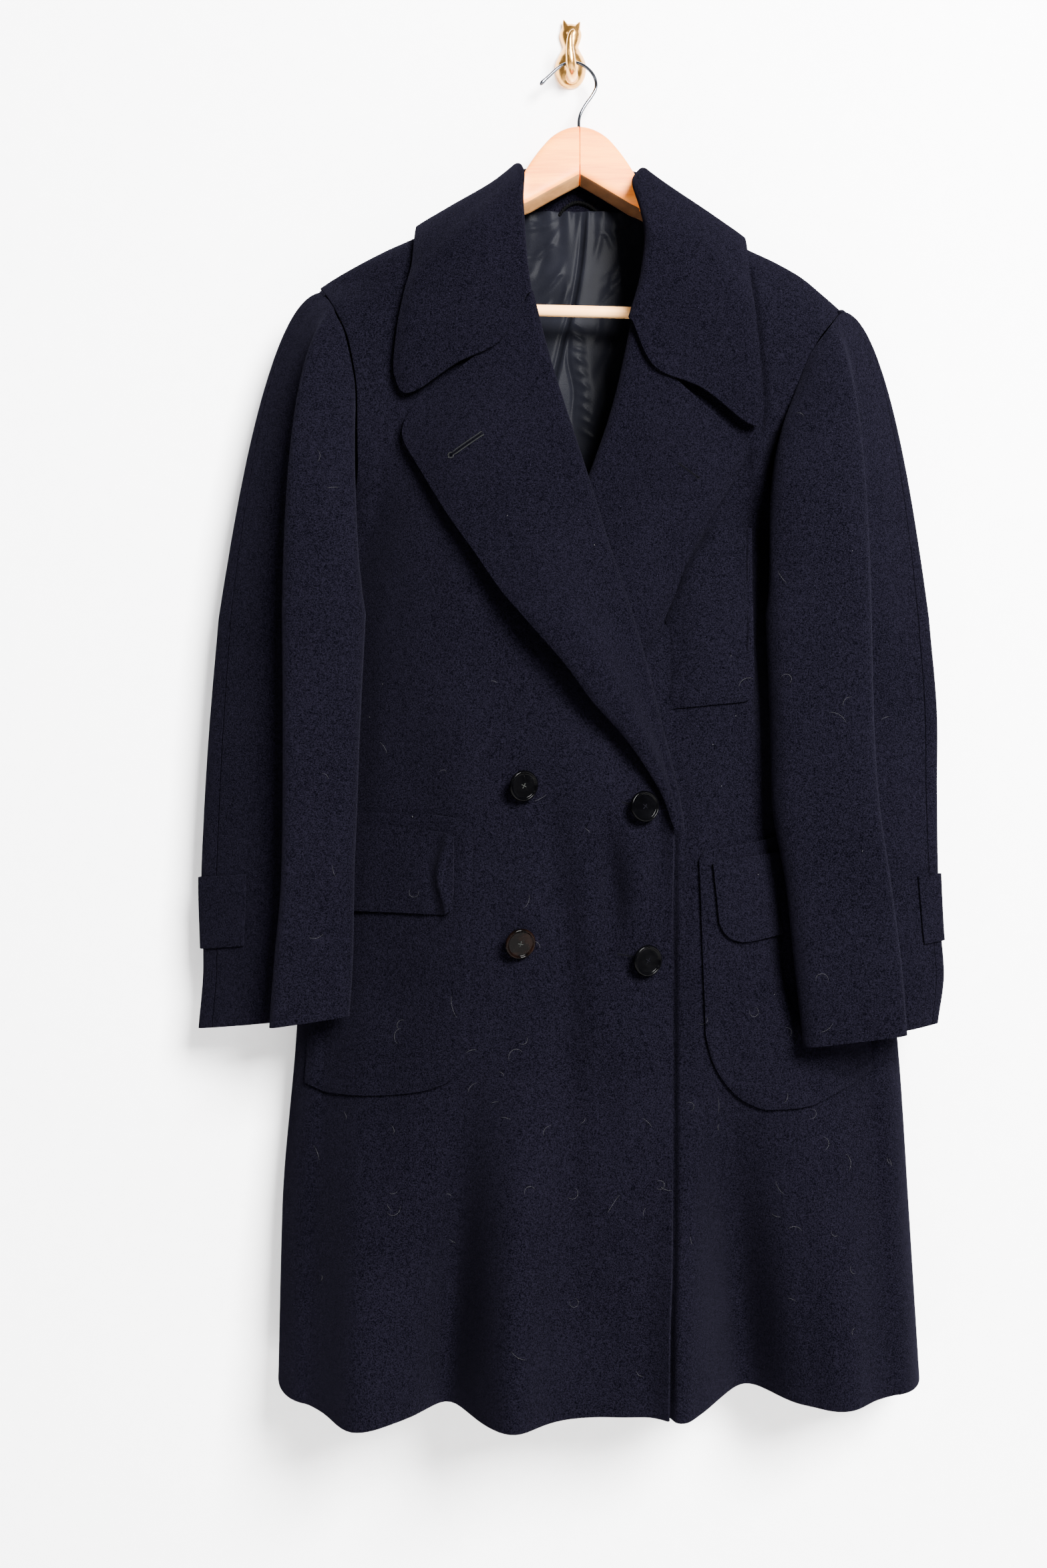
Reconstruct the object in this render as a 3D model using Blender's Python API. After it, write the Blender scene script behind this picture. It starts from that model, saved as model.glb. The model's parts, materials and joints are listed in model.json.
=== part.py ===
"""A wool coat on a wooden hanger, hung from a small cat-shaped wall hook.

Tables are in millimetres; the origin is the middle of the hook's flat back, on the wall.
X goes to the viewer's right, Y into the wall and Z up.
"""

import math

import bmesh
import bpy
import numpy as np

MM = 0.001
CLOTH = 2.5
FACING = 3.0
POCKET = 2.0
LINING = 1.0
SEAM = 0.15
LAID = 0.8
UNDERARM = -470.0
RIDGE_Y = -48.0
RIDGE_DROP = 55.0
WRAP = 0.06
OVERLAP = 14.0


# Helpers


def table(names, rows):
    """Named columns of a short table, one row per section."""
    return {name: np.array([row[i] for row in rows], float) for i, name in enumerate(names.split())}


def smooth(at, keys, values):
    """A cubic through values at keys that never overshoots. Values may hold one column per point."""
    keys = np.asarray(keys, float)
    values = np.asarray(values, float)
    if keys[0] > keys[-1]:
        keys, values = keys[::-1], values[::-1]
    at = np.clip(at, keys[0], keys[-1])
    many = values.ndim > 1
    step = np.diff(keys)
    if many:
        step = step.reshape((-1,) + (1,) * (values.ndim - 1))
    slope = np.diff(values, axis=0) / step
    tangent = np.zeros_like(values)
    before, after = slope[:-1], slope[1:]
    product = before * after
    safe = np.where(product > 0, before + after, 1.0)
    tangent[1:-1] = np.where(product > 0, 2 * product / safe, 0.0)
    tangent[0], tangent[-1] = slope[0], slope[-1]
    i = np.clip(np.searchsorted(keys, at, side="right") - 1, 0, len(keys) - 2)
    width = np.diff(keys)[i]
    t = (at - keys[i]) / width
    if many:
        columns = np.arange(values.shape[1]) if np.ndim(at) else slice(None)
        a, b = values[i, columns], values[i + 1, columns]
        ma, mb = tangent[i, columns], tangent[i + 1, columns]
    else:
        a, b, ma, mb = values[i], values[i + 1], tangent[i], tangent[i + 1]
    t2, t3 = t * t, t * t * t
    return (
        (2 * t3 - 3 * t2 + 1) * a
        + (t3 - 2 * t2 + t) * width * ma
        + (3 * t2 - 2 * t3) * b
        + (t3 - t2) * width * mb
    )


def ease(t):
    t = np.clip(t, 0.0, 1.0)
    return t * t * (3 - 2 * t)


def unit(vectors):
    return vectors / np.maximum(np.linalg.norm(vectors, axis=-1, keepdims=True), 1e-9)


def normals_of(surface, u, v, flip):
    small = 2e-4
    du = surface(np.clip(u + small, 0, 1), v) - surface(np.clip(u - small, 0, 1), v)
    dv = surface(u, np.clip(v + small, 0, 1)) - surface(u, np.clip(v - small, 0, 1))
    facing = unit(np.cross(du, dv))
    return -facing if flip else facing


def finish(name, mesh, color, roughness, metallic=0.0, sharp=50):
    mesh.shade_smooth()
    mesh.set_sharp_from_angle(angle=math.radians(sharp))
    material = bpy.data.materials.new(name)
    material.use_nodes = True
    shader = material.node_tree.nodes["Principled BSDF"]
    shader.inputs["Base Color"].default_value = (*color, 1.0)
    shader.inputs["Roughness"].default_value = roughness
    shader.inputs["Metallic"].default_value = metallic
    mesh.materials.append(material)
    obj = bpy.data.objects.new(name, mesh)
    COAT.objects.link(obj)
    return obj


def mesh_of(name, points, faces):
    mesh = bpy.data.meshes.new(name)
    mesh.from_pydata([tuple(point) for point in points * MM], [], faces)
    shape = bmesh.new()
    shape.from_mesh(mesh)
    bmesh.ops.triangulate(shape, faces=shape.faces[:])
    shape.to_mesh(mesh)
    shape.free()
    return mesh


def cloth(name, surface, us, vs, wall, color, flip=False, roughness=0.9):
    """A closed wall of cloth: surface(u, v) is its outer face, and the wall goes inwards from it."""
    u, v = np.meshgrid(np.asarray(us, float), np.asarray(vs, float))
    outer = surface(u, v)
    inner = outer - normals_of(surface, u, v, flip) * wall
    rows, columns = u.shape
    points = np.concatenate([outer.reshape(-1, 3), inner.reshape(-1, 3)])
    half = rows * columns

    def turned(face, turn):
        return face[::-1] if turn else face

    faces = []
    for r in range(rows - 1):
        for c in range(columns - 1):
            a = r * columns + c
            quad = (a, a + 1, a + columns + 1, a + columns)
            faces.append(turned(quad, flip))
            faces.append(turned(tuple(half + i for i in quad), not flip))
    rim = [c for c in range(columns)]
    rim += [r * columns + columns - 1 for r in range(1, rows)]
    rim += [(rows - 1) * columns + c for c in range(columns - 2, -1, -1)]
    rim += [r * columns for r in range(rows - 2, 0, -1)]
    for a, b in zip(rim, rim[1:] + rim[:1]):
        faces.append(turned((b, a, half + a, half + b), flip))
    return finish(name, mesh_of(name, points, faces), color, roughness)


def spread(*parts):
    """Positions from 0 to 1: each part is (end, steps)."""
    found, start = [0.0], 0.0
    for end, steps in parts:
        found += list(np.linspace(start, end, steps + 1)[1:])
        start = end
    return found


# The shape of the body

SHOULDER = table(
    "x z",
    [
        (-250, -241), (-226, -222), (-202, -207), (-169, -190), (-140, -177),
        (-114, -163), (-84, -146), (-62, -130), (7, -120), (78, -137.5), (118, -164.5),
        (150, -185), (182, -200), (205, -213), (228, -232), (262, -262),
    ],
)

BODY = table(
    "z left right seam_l seam_r y1 y2 y3 y4 y5 y6 y7 y8",
    [
        (-1215, -266, 314, -25, -25, -114, -146, -140, -140, -122, -122, -120, -102),
        (-1050, -263, 305, -25, -25, -86, -120, -126, -132, -116, -112, -106, -84),
        (-900, -251, 296, -25, -25, -60, -100, -116, -124, -110, -104, -92, -64),
        (-800, -245, 280, -25, -25, -50, -95, -112, -120, -106, -93, -76, -56),
        (-680, -236, 262, -25, -25, -46, -92, -108, -114, -102, -88, -58, -46),
        (-560, -225, 242, -25, -25, -42, -90, -104, -109, -100, -93, -56, -42),
        (-470, -216, 226, -25, -25, -40, -86, -100, -105, -97, -92, -70, -40),
        (-430, -198, 192, -60, -44, -72, -86, -98, -103, -95, -91, -80, -62),
        (-385, -190, 176, -80, -62, -82, -86, -94, -98, -94, -92, -89, -82),
        (-330, -190, 192, -85, -88, -86, -87, -92, -94, -92, -90, -89, -88),
        (-281, -197, 213, -84, -84, -85, -86, -88, -90, -90, -88, -87, -86),
        (-246, -212, 238, -76, -66, -80, -82, -84, -86, -86, -85, -82, -76),
        (-220, -228, 250, -60, -52, -66, -76, -80, -82, -82, -80, -76, -68),
    ],
)
ACROSS = np.array([0.06, 0.14, 0.30, 0.50, 0.70, 0.80, 0.86, 0.94])

FRONT_FOLDS = table(
    "x_top z_top x_low z_low half depth fade",
    [
        (-90, -870, -108, -1180, 22, 40, 0),
        (-176, -930, -178, -1200, 32, -30, 0),
        (-50, -860, -52, -1200, 30, -38, 0),
        (126, -880, 153, -1190, 27, 50, 0),
        (226, -930, 228, -1200, 40, -14, 0),
        (92, -900, 88, -1200, 18, -24, 0),
        (82, -400, 84, -520, 17, 8, 200),
        (-34, -610, -10, -800, 15, 6, 500),
    ],
)

BACK_FOLDS = table(
    "x_top z_top x_low z_low half depth fade",
    [
        (-120, -640, -128, -1200, 34, -13, 0),
        (40, -700, 52, -1200, 30, -10, 0),
        (176, -600, 190, -1200, 36, -14, 0),
    ],
)

ARMHOLE_BACK = table(
    "z left right seam_l seam_r",
    [
        (-1215, -266, 314, -25, -25), (-1050, -263, 305, -25, -25), (-900, -251, 296, -25, -25),
        (-800, -245, 280, -25, -25), (-680, -236, 262, -25, -25), (-560, -225, 242, -25, -25),
        (-470, -216, 226, -25, -25), (-420, -203, 205, -14, -14), (-370, -197, 200, -11, -11),
        (-300, -201, 216, -12, -12), (-255, -212, 236, -24, -24), (-220, -228, 250, -44, -44),
    ],
)

BACK_TOP = table(
    "x z y",
    [
        (-250, -241, -48), (-226, -222, -48), (-202, -207, -48), (-169, -190, -48),
        (-140, -177, -48), (-114, -163, -48), (-84, -146, -48), (-67, -134, -46),
        (-56, -139, -20), (-34, -145, -8.5), (7, -146.5, -7), (48, -146.5, -8.5),
        (66, -142, -18), (74, -138.5, -33), (80, -139.5, -46), (118, -164.5, -48), (150, -185, -48),
        (182, -200, -48), (205, -213, -48), (228, -232, -48), (262, -262, -48),
    ],
)

EDGE_OVER = table(
    "z x",
    [
        (-1215, 76), (-1130, 77.5), (-1074, 80), (-964, 82), (-853, 82.5), (-752, 83),
        (-694, 84), (-672, 80), (-649, 75), (-618, 67), (-571, 54), (-540, 45),
        (-503, 34), (-459, 19), (-415, 6), (-356, -12), (-285, -33), (-250, -43),
        (-206, -50), (-160, -58), (-130, -62),
    ],
)

EDGE_UNDER = table(
    "z x",
    [
        (-1215, -72), (-700, -72), (-640, -68), (-580, -50), (-520, -28), (-460, -4),
        (-408, 17), (-351, 37), (-322, 45), (-259, 58), (-223, 66), (-196, 71),
        (-160, 75), (-137.5, 78),
    ],
)


def shoulder(x):
    return smooth(x, SHOULDER["x"], SHOULDER["z"])


def folds(x, z, rows):
    """How far the folds of one side push the cloth along Y."""
    total = np.zeros_like(x)
    for x_top, z_top, x_low, z_low, half, depth, fade in zip(*rows.values()):
        down = (z_top - z) / (z_top - z_low)
        middle = x_top + (x_low - x_top) * np.clip(down, 0.0, 1.2)
        strength = ease(down)
        if fade:
            strength = strength * (1 - ease((z_low - z) / fade))
        total = total + depth * strength * np.exp(-(((x - middle) / half) ** 2))
    return total


def back_top(x):
    return smooth(x, BACK_TOP["x"], BACK_TOP["z"])


def from_the_top(drop, flat, start):
    """The depth below a panel's top, where the cloth comes over from there."""
    down = np.clip(drop / RIDGE_DROP, 0.0, 1.0)
    return start + (flat - start) * np.sqrt(1 - (1 - down) ** 2)


def front_y(x, z):
    """Y of the front's outer face."""
    left, right = smooth(z, BODY["z"], BODY["left"]), smooth(z, BODY["z"], BODY["right"])
    seam_l, seam_r = smooth(z, BODY["z"], BODY["seam_l"]), smooth(z, BODY["z"], BODY["seam_r"])
    shape = x.shape
    depths = np.array([smooth(z, BODY["z"], BODY[f"y{i}"]).ravel() for i in range(1, 9)])
    part = (x - left) / (right - left)
    flat = smooth(part.ravel(), ACROSS, depths).reshape(shape)
    flat = flat + folds(x, z, FRONT_FOLDS) * ease((part - 0.02) / 0.1) * ease((0.98 - part) / 0.1)
    turn_l = np.clip(part / WRAP, 0.0, 1.0)
    turn_r = np.clip((1 - part) / WRAP, 0.0, 1.0)
    flat = seam_l + (flat - seam_l) * np.sqrt(1 - (1 - turn_l) ** 2)
    flat = seam_r + (flat - seam_r) * np.sqrt(1 - (1 - turn_r) ** 2)
    return from_the_top(shoulder(x) - z, flat, RIDGE_Y)


def over_y(x, z):
    """The front that laps over lies in front of the other from the chest down."""
    down = ease((-290 - z) / 100.0)
    return front_y(x, z) - OVERLAP * down * ease((x + 180) / 90.0)


def back_y(x, z):
    """Y of the back's outer face, which lies to the wall."""
    left = smooth(z, ARMHOLE_BACK["z"], ARMHOLE_BACK["left"])
    right = smooth(z, ARMHOLE_BACK["z"], ARMHOLE_BACK["right"])
    seam_l = smooth(z, ARMHOLE_BACK["z"], ARMHOLE_BACK["seam_l"])
    seam_r = smooth(z, ARMHOLE_BACK["z"], ARMHOLE_BACK["seam_r"])
    part = (x - left) / (right - left)
    flat = -5.4 + folds(x, z, BACK_FOLDS)
    turn_l = np.clip(part / WRAP, 0.0, 1.0)
    turn_r = np.clip((1 - part) / WRAP, 0.0, 1.0)
    flat = seam_l + (flat - seam_l) * np.sqrt(1 - (1 - turn_l) ** 2)
    flat = seam_r + (flat - seam_r) * np.sqrt(1 - (1 - turn_r) ** 2)
    return from_the_top(back_top(x) - z, flat, smooth(x, BACK_TOP["x"], BACK_TOP["y"]))


def hem(x):
    return -1199.5 - 5.0 * np.exp(-(((x + 195) / 45) ** 2)) - 3.0 * np.exp(-(((x - 225) / 35) ** 2))


def row_z(x, v, split, top, low):
    """Rows change from the shoulder line to level lines at the underarm, then run down to the hem."""
    down = np.clip(v / split, 0.0, 1.0) ** 2
    upper = (1 - down) * top(x) + down * UNDERARM
    lower = UNDERARM + (low(x) - UNDERARM) * np.clip((v - split) / (1 - split), 0.0, 1.0)
    return np.where(v <= split, upper, lower)


def edge_x(v, split, top, low, keys, values):
    """Where a row meets an edge that is given as x against z."""
    x = np.full_like(v, float(np.mean(values)))
    for _ in range(40):
        x = 0.5 * x + 0.5 * smooth(row_z(x, v, split, top, low), keys, values)
    return x


def panel(side, outer_keys, outer_values, inner_keys, inner_values, depth, top, low, gap_y):
    """One panel of the body, from its side (u = 0) to its inner edge (u = 1)."""
    wrap_u, split = 0.22, 0.34

    def surface(u, v):
        outer = edge_x(v, split, top, low, outer_keys, outer_values)
        inner = edge_x(v, split, top, low, inner_keys, inner_values)
        z0 = row_z(outer, v, split, top, low)
        width = smooth(z0, BODY["z"], BODY["right"]) - smooth(z0, BODY["z"], BODY["left"])
        start = outer + side * WRAP * width
        angle = np.clip(u / wrap_u, 0.0, 1.0) * math.pi / 2
        x_wrap = outer + (start - outer) * (1 - np.cos(angle))
        x_flat = start + (inner - start) * np.clip((u - wrap_u) / (1 - wrap_u), 0.0, 1.0)
        x = np.where(u <= wrap_u, x_wrap, x_flat)
        z = row_z(x, v, split, top, low)
        y = depth(x, z) + gap_y * (1 - ease(u / 0.1)) + gap_y * (1 - ease(v / 0.05))
        return np.stack([x, y, z], axis=-1)

    return surface


# Sleeves

# Twelve places go round a sleeve: the inner edge, four over the front to its crease, behind the crease,
# two to the outer edge and four over the back.
AROUND = table(
    "along depth",
    [
        (0.00, 0.35), (0.12, 0.10), (0.50, 0.03), (0.90, 0.00), (1.00, 0.10), (0.99, 0.38),
        (1.40, 0.50), (2.00, 0.74), (1.80, 0.95), (1.00, 1.00), (0.60, 0.70), (0.15, 0.60),
    ],
)

CAP_LEFT = table(
    "ax ay az bx by bz",
    [
        (-214.5, -36, -461, -219, -64, -480),
        (-195.0, -81, -386, -174, -103, -404),
        (-191.5, -87, -322, -184, -117, -332),
        (-200.5, -86, -274, -220, -117, -290),
        (-208.5, -82, -256, -249, -113, -276),
        (-213.0, -76, -246, -249, -86, -262),
        (-218.4, -64, -236, -264, -68, -246),
        (-226.8, -48, -227, -276, -50, -234),
        (-216.4, -24, -254, -262, -24, -276),
        (-205.4, -12, -301, -243, -8, -341),
        (-202.5, -11, -371, -234, -10, -431),
        (-208.0, -14, -421, -238, -38, -466),
    ],
)

CAP_RIGHT = table(
    "ax ay az bx by bz",
    [
        (222.5, -38, -461, 226, -64, -480),
        (186.0, -70, -392, 160, -102, -412),
        (187.0, -87, -345, 176, -118, -366),
        (206.0, -88, -294, 218, -120, -318),
        (222.0, -84, -270, 250, -114, -294),
        (230.2, -76, -260, 254, -86, -274),
        (237.3, -64, -250, 272, -68, -260),
        (244.5, -48, -244, 286, -50, -254),
        (240.0, -24, -256, 280, -24, -284),
        (221.5, -12, -301, 254, -8, -350),
        (206.0, -11, -371, 244, -12, -436),
        (212.5, -15, -421, 244, -40, -468),
    ],
)

ARM_LEFT = table(
    "z inner crease outer front low back",
    [
        (-886, -194, -262, -334, -131, -94, -32),
        (-830, -191, -258, -330, -131, -91, -30),
        (-757, -190, -252, -332, -130, -88, -28),
        (-700, -188, -251, -330, -128, -86, -28),
        (-630, -186, -251, -326, -126, -80, -28),
        (-520, -181, -252, -317, -124, -76, -28),
    ],
)

ARM_RIGHT = table(
    "z inner crease outer front low back",
    [
        (-892, 195, 281, 316, -144, -108, -84),
        (-847, 190, 278, 322, -143, -106, -80),
        (-806, 186, 274, 320, -141, -102, -75),
        (-755, 181, 268, 319, -138, -98, -69),
        (-680, 170, 259, 320, -133, -88, -60),
        (-614, 169, 256, 322, -130, -80, -50),
        (-520, 166, 255, 318, -126, -76, -34),
    ],
)

RING = 12
CUFF_RISE = 0.135  # both cuffs rise towards the same side


def ring_points(z, arm):
    """The twelve places round one level of a sleeve."""
    inner, crease = smooth(z, arm["z"], arm["inner"]), smooth(z, arm["z"], arm["crease"])
    outer = smooth(z, arm["z"], arm["outer"])
    front, low, back = (smooth(z, arm["z"], arm[name]) for name in ("front", "low", "back"))
    points = []
    for i, (along, depth) in enumerate(zip(AROUND["along"], AROUND["depth"])):
        if along <= 1.0:
            x = inner + (crease - inner) * along
        else:
            x = crease + (outer - crease) * (along - 1.0)
        y = front + (back - front) * depth
        if i == 11:
            y = low
        if i == 0:
            y = 0.5 * (low + front)
        if i == 10:
            y = low + 12.0
        lift = CUFF_RISE * (x - np.minimum(inner, outer)) * np.clip((-520 - z) / 370, 0.0, 1.0)
        points.append(np.stack([x, y, z + lift], axis=-1))
    return points


def sleeve_places(v, cap, arm, cap_share, top, end):
    """The twelve places of the ring at v, from the armhole (v = 0) to the cuff (v = 1)."""
    t = np.clip(v / cap_share, 0.0, 1.0)
    level = top + (end - top) * np.clip((v - cap_share) / (1 - cap_share), 0.0, 1.0)
    below = ring_points(level, arm)
    first = ring_points(np.full_like(v, top), arm)
    found = []
    for i in range(RING):
        a = np.array([cap["ax"][i], cap["ay"][i], cap["az"][i]])
        b = np.array([cap["bx"][i], cap["by"][i], cap["bz"][i]])
        tt = t[..., None]
        upper = (1 - tt) ** 2 * a + 2 * tt * (1 - tt) * b + tt**2 * first[i]
        found.append(np.where(v[..., None] <= cap_share, upper, below[i]))
    return found


def sleeve(cap, arm, begin, until, end, cap_share=0.46, top=-520.0):
    """A sleeve's panel: u goes round from place `begin` to place `until`."""

    def surface(u, v):
        places = np.array(sleeve_places(v, cap, arm, cap_share, top, end))
        at = (begin + (until - begin) * u) % RING
        i = np.floor(at).astype(int) % RING
        t = (at - np.floor(at))[..., None]
        rows, columns = np.indices(u.shape)

        def place(k):
            return places[(i + k) % RING, rows, columns]

        p0, p1, p2, p3 = place(-1), place(0), place(1), place(2)
        m1, m2 = 0.42 * (p2 - p0), 0.42 * (p3 - p1)
        return (
            (2 * t**3 - 3 * t**2 + 1) * p1
            + (t**3 - 2 * t**2 + t) * m1
            + (3 * t**2 - 2 * t**3) * p2
            + (t**3 - t**2) * m2
        )

    return surface


# Lapels, collar and what is laid on the panels

LAPEL_OVER = table(
    "roll_x roll_z out_x out_z notch_x notch_z lift",
    [
        (-43, -239, -149, -361, 10, -8, 3),
        (-31, -285, -147, -369, 3, -2, 4),
        (-10, -357, -127, -403, 0, 0, 6),
        (8, -415, -106, -440, 0, 0, 9),
        (21, -459, -84, -472, 0, 0, 14),
        (36, -503, -60, -507, 0, 0, 20),
        (47, -540, -37, -533, 0, 0, 26),
        (56, -571, -8, -566, 0, 0, 26),
        (63, -600, 16, -598, 0, 0, 22),
        (70, -628, 42, -626, 0, 0, 16),
        (77, -655, 62, -654, 0, 0, 9),
        (83, -684, 78, -684, 0, 0, 3),
    ],
)

LAPEL_UNDER = table(
    "roll_x roll_z out_x out_z notch_x notch_z lift",
    [
        (57, -267, 152, -373, -9, -6, 3),
        (45, -322, 150, -379, -3, 0, 4),
        (37, -351, 134, -408, 0, 0, 5),
        (17, -408, 112, -443, 0, 0, 4),
        (4, -440, 94, -478, 0, 0, 3),
        (-10, -475, 83, -509, 0, 0, 2.5),
        (-20, -500, 72, -531, 0, 0, 2.5),
        (-34, -540, 50, -560, 0, 0, 2),
        (-50, -580, 18, -596, 0, 0, 2),
        (-66, -630, -44, -640, 0, 0, 2),
    ],
)


def lapel(rows, side, depth):
    """A facing turned back: it rolls round the panel's edge (u = 0) and lies out to its own edge."""
    steps = np.linspace(0.0, 1.0, len(rows["lift"]))
    bend = 0.13
    radius = CLOTH / 2 + 0.5 + FACING

    def surface(u, v):
        roll_x, roll_z, out_x, out_z, notch_x, notch_z, lift = (
            smooth(v, steps, column) for column in rows.values()
        )
        across = np.clip((u - bend) / (1 - bend), 0.0, 1.0)
        hat = np.where(across < 0.33, across / 0.33, (1 - across) / 0.67)
        x = roll_x + (out_x - roll_x) * across + notch_x * hat
        z = roll_z + (out_z - roll_z) * across + notch_z * hat
        angle = (-35 + 125 * np.clip(u / bend, 0.0, 1.0)) * math.pi / 180
        x = x + side * radius * np.cos(angle) * (u < bend)
        middle = depth(x * (u >= bend) + roll_x * (u < bend), z) + CLOTH / 2
        y = middle - radius * np.sin(angle) - lift * ease(across * 1.6)
        return np.stack([x, y, z], axis=-1)

    return surface


COLLAR = table(
    "at sx sy sz fx fy fz mx my mz nx ny nz ex ey ez",
    [
        (0.00, -44, -88, -236, -40, -97, -233, -65, -100, -282, -103, -99, -301, -143, -97, -326),
        (0.06, -47, -83, -208, -44, -96, -206, -78, -102, -245, -118, -100, -282, -156, -97, -305),
        (0.13, -51, -78, -180, -46, -94, -176, -80, -101, -210, -118, -99, -243, -153, -96, -272),
        (0.20, -56, -67, -158, -47, -84, -152, -78, -96, -180, -112, -96, -207, -147, -93, -240),
        (0.27, -60, -54, -137, -48, -68, -130, -76, -80, -154, -108, -85, -181, -140, -86, -210),
        (0.34, -61, -36, -130, -51, -44, -115, -72, -53, -133, -104, -54, -151.5, -138, -53, -170.5),
        (0.40, -54, -17, -136, -46, -19, -108, -64, -8, -136, -92, -5, -161, -124, -5, -191),
        (0.45, -34, -8.5, -143, -24, -8.6, -101, -32, -3.6, -135, -44, -3.6, -165, -56, -3.6, -196),
        (0.50, 7, -8, -144.5, 7, -7.8, -99, 7, -3.6, -130, 7, -3.6, -163, 7, -3.6, -198),
        (0.55, 48, -8.5, -144.5, 38, -8.6, -102, 46, -3.6, -136, 58, -3.6, -167, 70, -3.6, -199),
        (0.60, 67, -17, -141, 60, -19, -111, 80, -8, -142, 110, -5, -171, 140, -5, -201),
        (0.66, 78, -36, -136, 65, -44, -119, 86, -53, -136, 118, -54, -158, 152, -53, -180.5),
        (0.73, 76, -54, -146, 57, -68, -137, 88, -80, -161, 120, -86, -188, 152, -88, -219),
        (0.80, 72, -68, -172, 61, -84, -162, 92, -95, -190, 124, -98, -219, 156, -95, -252),
        (0.87, 68, -78, -200, 65, -94, -188, 94, -102, -222, 126, -100, -255, 160, -98, -293),
        (0.94, 62, -84, -232, 61, -96, -222, 92, -103, -262, 126, -101, -300, 163, -98, -333),
        (1.00, 55, -88, -262, 52, -97, -259, 72, -102, -305, 110, -100, -315, 156, -98, -354),
    ],
)
FOLD_RADIUS = 4.2


def collar(u, v):
    """The collar's section goes up the stand, over the fold and down the leaf."""

    def place(letter):
        return np.stack([smooth(v, COLLAR["at"], COLLAR[letter + axis]) for axis in "xyz"], axis=-1)

    seam, fold, leaf, low, edge = (place(letter) for letter in "sfmne")
    out = unit(fold - 0.5 * (seam + leaf))
    across = leaf - seam
    across = unit(across - out * np.sum(across * out, axis=-1, keepdims=True))
    centre = fold - FOLD_RADIUS * out
    stand_end, leaf_start = centre - FOLD_RADIUS * across, centre + FOLD_RADIUS * across
    a, b = 0.2, 0.42
    stand = seam + (stand_end - seam) * np.clip(u / a, 0.0, 1.0)[..., None]
    angle = (math.pi * np.clip((u - a) / (b - a), 0.0, 1.0))[..., None]
    bend = centre + FOLD_RADIUS * (np.sin(angle) * out - np.cos(angle) * across)
    t = (3 * np.clip((u - b) / (1 - b), 0.0, 1.0))[..., None]
    knots = [leaf_start - 10 * -out, leaf_start, leaf, low, edge, 2 * edge - low]
    down = np.zeros_like(bend)
    for k in range(3):
        s = np.clip(t - k, 0.0, 1.0)
        p0, p1, p2, p3 = knots[k], knots[k + 1], knots[k + 2], knots[k + 3]
        if k == 0:
            p0 = p2 - 1.2 * (p2 - p1)
        m1, m2 = 0.5 * (p2 - p0), 0.5 * (p3 - p1)
        piece = (
            (2 * s**3 - 3 * s**2 + 1) * p1
            + (s**3 - 2 * s**2 + s) * m1
            + (3 * s**2 - 2 * s**3) * p2
            + (s**3 - s**2) * m2
        )
        down = np.where((t >= k) & (t <= k + 1), piece, down)
    u = u[..., None]
    return np.where(u <= a, stand, np.where(u <= b, bend, down))


POCKET_OVER = table(
    "u top low",
    [
        (0.00, -693, -932), (0.15, -693, -939), (0.40, -693, -938), (0.70, -694, -931),
        (0.86, -697, -923), (0.95, -700, -914), (1.00, -702, -902),
    ],
)
POCKET_UNDER = table(
    "u top low",
    [
        (0.00, -727, -902), (0.06, -725, -918), (0.16, -723, -935), (0.32, -719, -950),
        (0.50, -714, -948), (0.72, -708, -935), (0.92, -702, -922), (1.00, -700, -914),
    ],
)
POCKET_BREAST = table("u top low", [(0.0, -447, -603), (0.5, -445, -599), (1.0, -443, -594)])
FLAP_OVER = table("u top low", [(0.0, -704, -780), (0.5, -705, -779), (1.0, -711, -781)])
FLAP_UNDER = table(
    "u top low", [(0.0, -735, -794), (0.08, -734, -804), (0.5, -727, -797), (1.0, -718, -788)]
)


def laid(rows, sides, depth, out):
    """A patch that follows a panel, moved out from it. Its sides are the top's, then the low edge's."""
    left_top, right_top, left_low, right_low = sides

    def surface(u, v):
        left = left_top + (left_low - left_top) * v
        right = right_top + (right_low - right_top) * v
        x = left + (right - left) * u
        z = smooth(u, rows["u"], rows["top"])
        z = z + (smooth(u, rows["u"], rows["low"]) - z) * v
        y = depth(x, z)
        d = 0.5
        slope_x = (depth(x + d, z) - depth(x - d, z)) / (2 * d)
        slope_z = (depth(x, z + d) - depth(x, z - d)) / (2 * d)
        facing = unit(np.stack([slope_x, -np.ones_like(x), slope_z], axis=-1))
        return np.stack([x, y, z], axis=-1) + out * facing

    return surface


def chest_y(x, z):
    """The breast pocket bridges the hollow beside the armhole."""
    return front_y(np.minimum(x, 150.0), np.minimum(z, -480.0))


def lining_y(z):
    """The lining hangs straight, in front of the back's folds."""
    return -5.4 - CLOTH - 3.0 - LINING - 15.0 * ease((-560.0 - z) / 500.0)


# Build

for old in list(bpy.data.objects):
    bpy.data.objects.remove(old)
COAT = bpy.data.collections.new("wool_coat_on_hook")
CUTTERS = bpy.data.collections.new("cutters")
CUTTERS.hide_render = True
bpy.context.scene.collection.children.link(COAT)
bpy.context.scene.collection.children.link(CUTTERS)

NAVY = (0.011, 0.011, 0.023)
SATIN = (0.022, 0.026, 0.03)
PANEL_V = [0.0, 0.03, 0.07, 0.12, 0.17, 0.23, 0.285, 0.34] + list(np.linspace(0.34, 1.0, 17)[1:])


def under_hem(x):
    return hem(x) - 7.0 * np.exp(-(((x - 92) / 26) ** 2)) + 1.0


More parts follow.
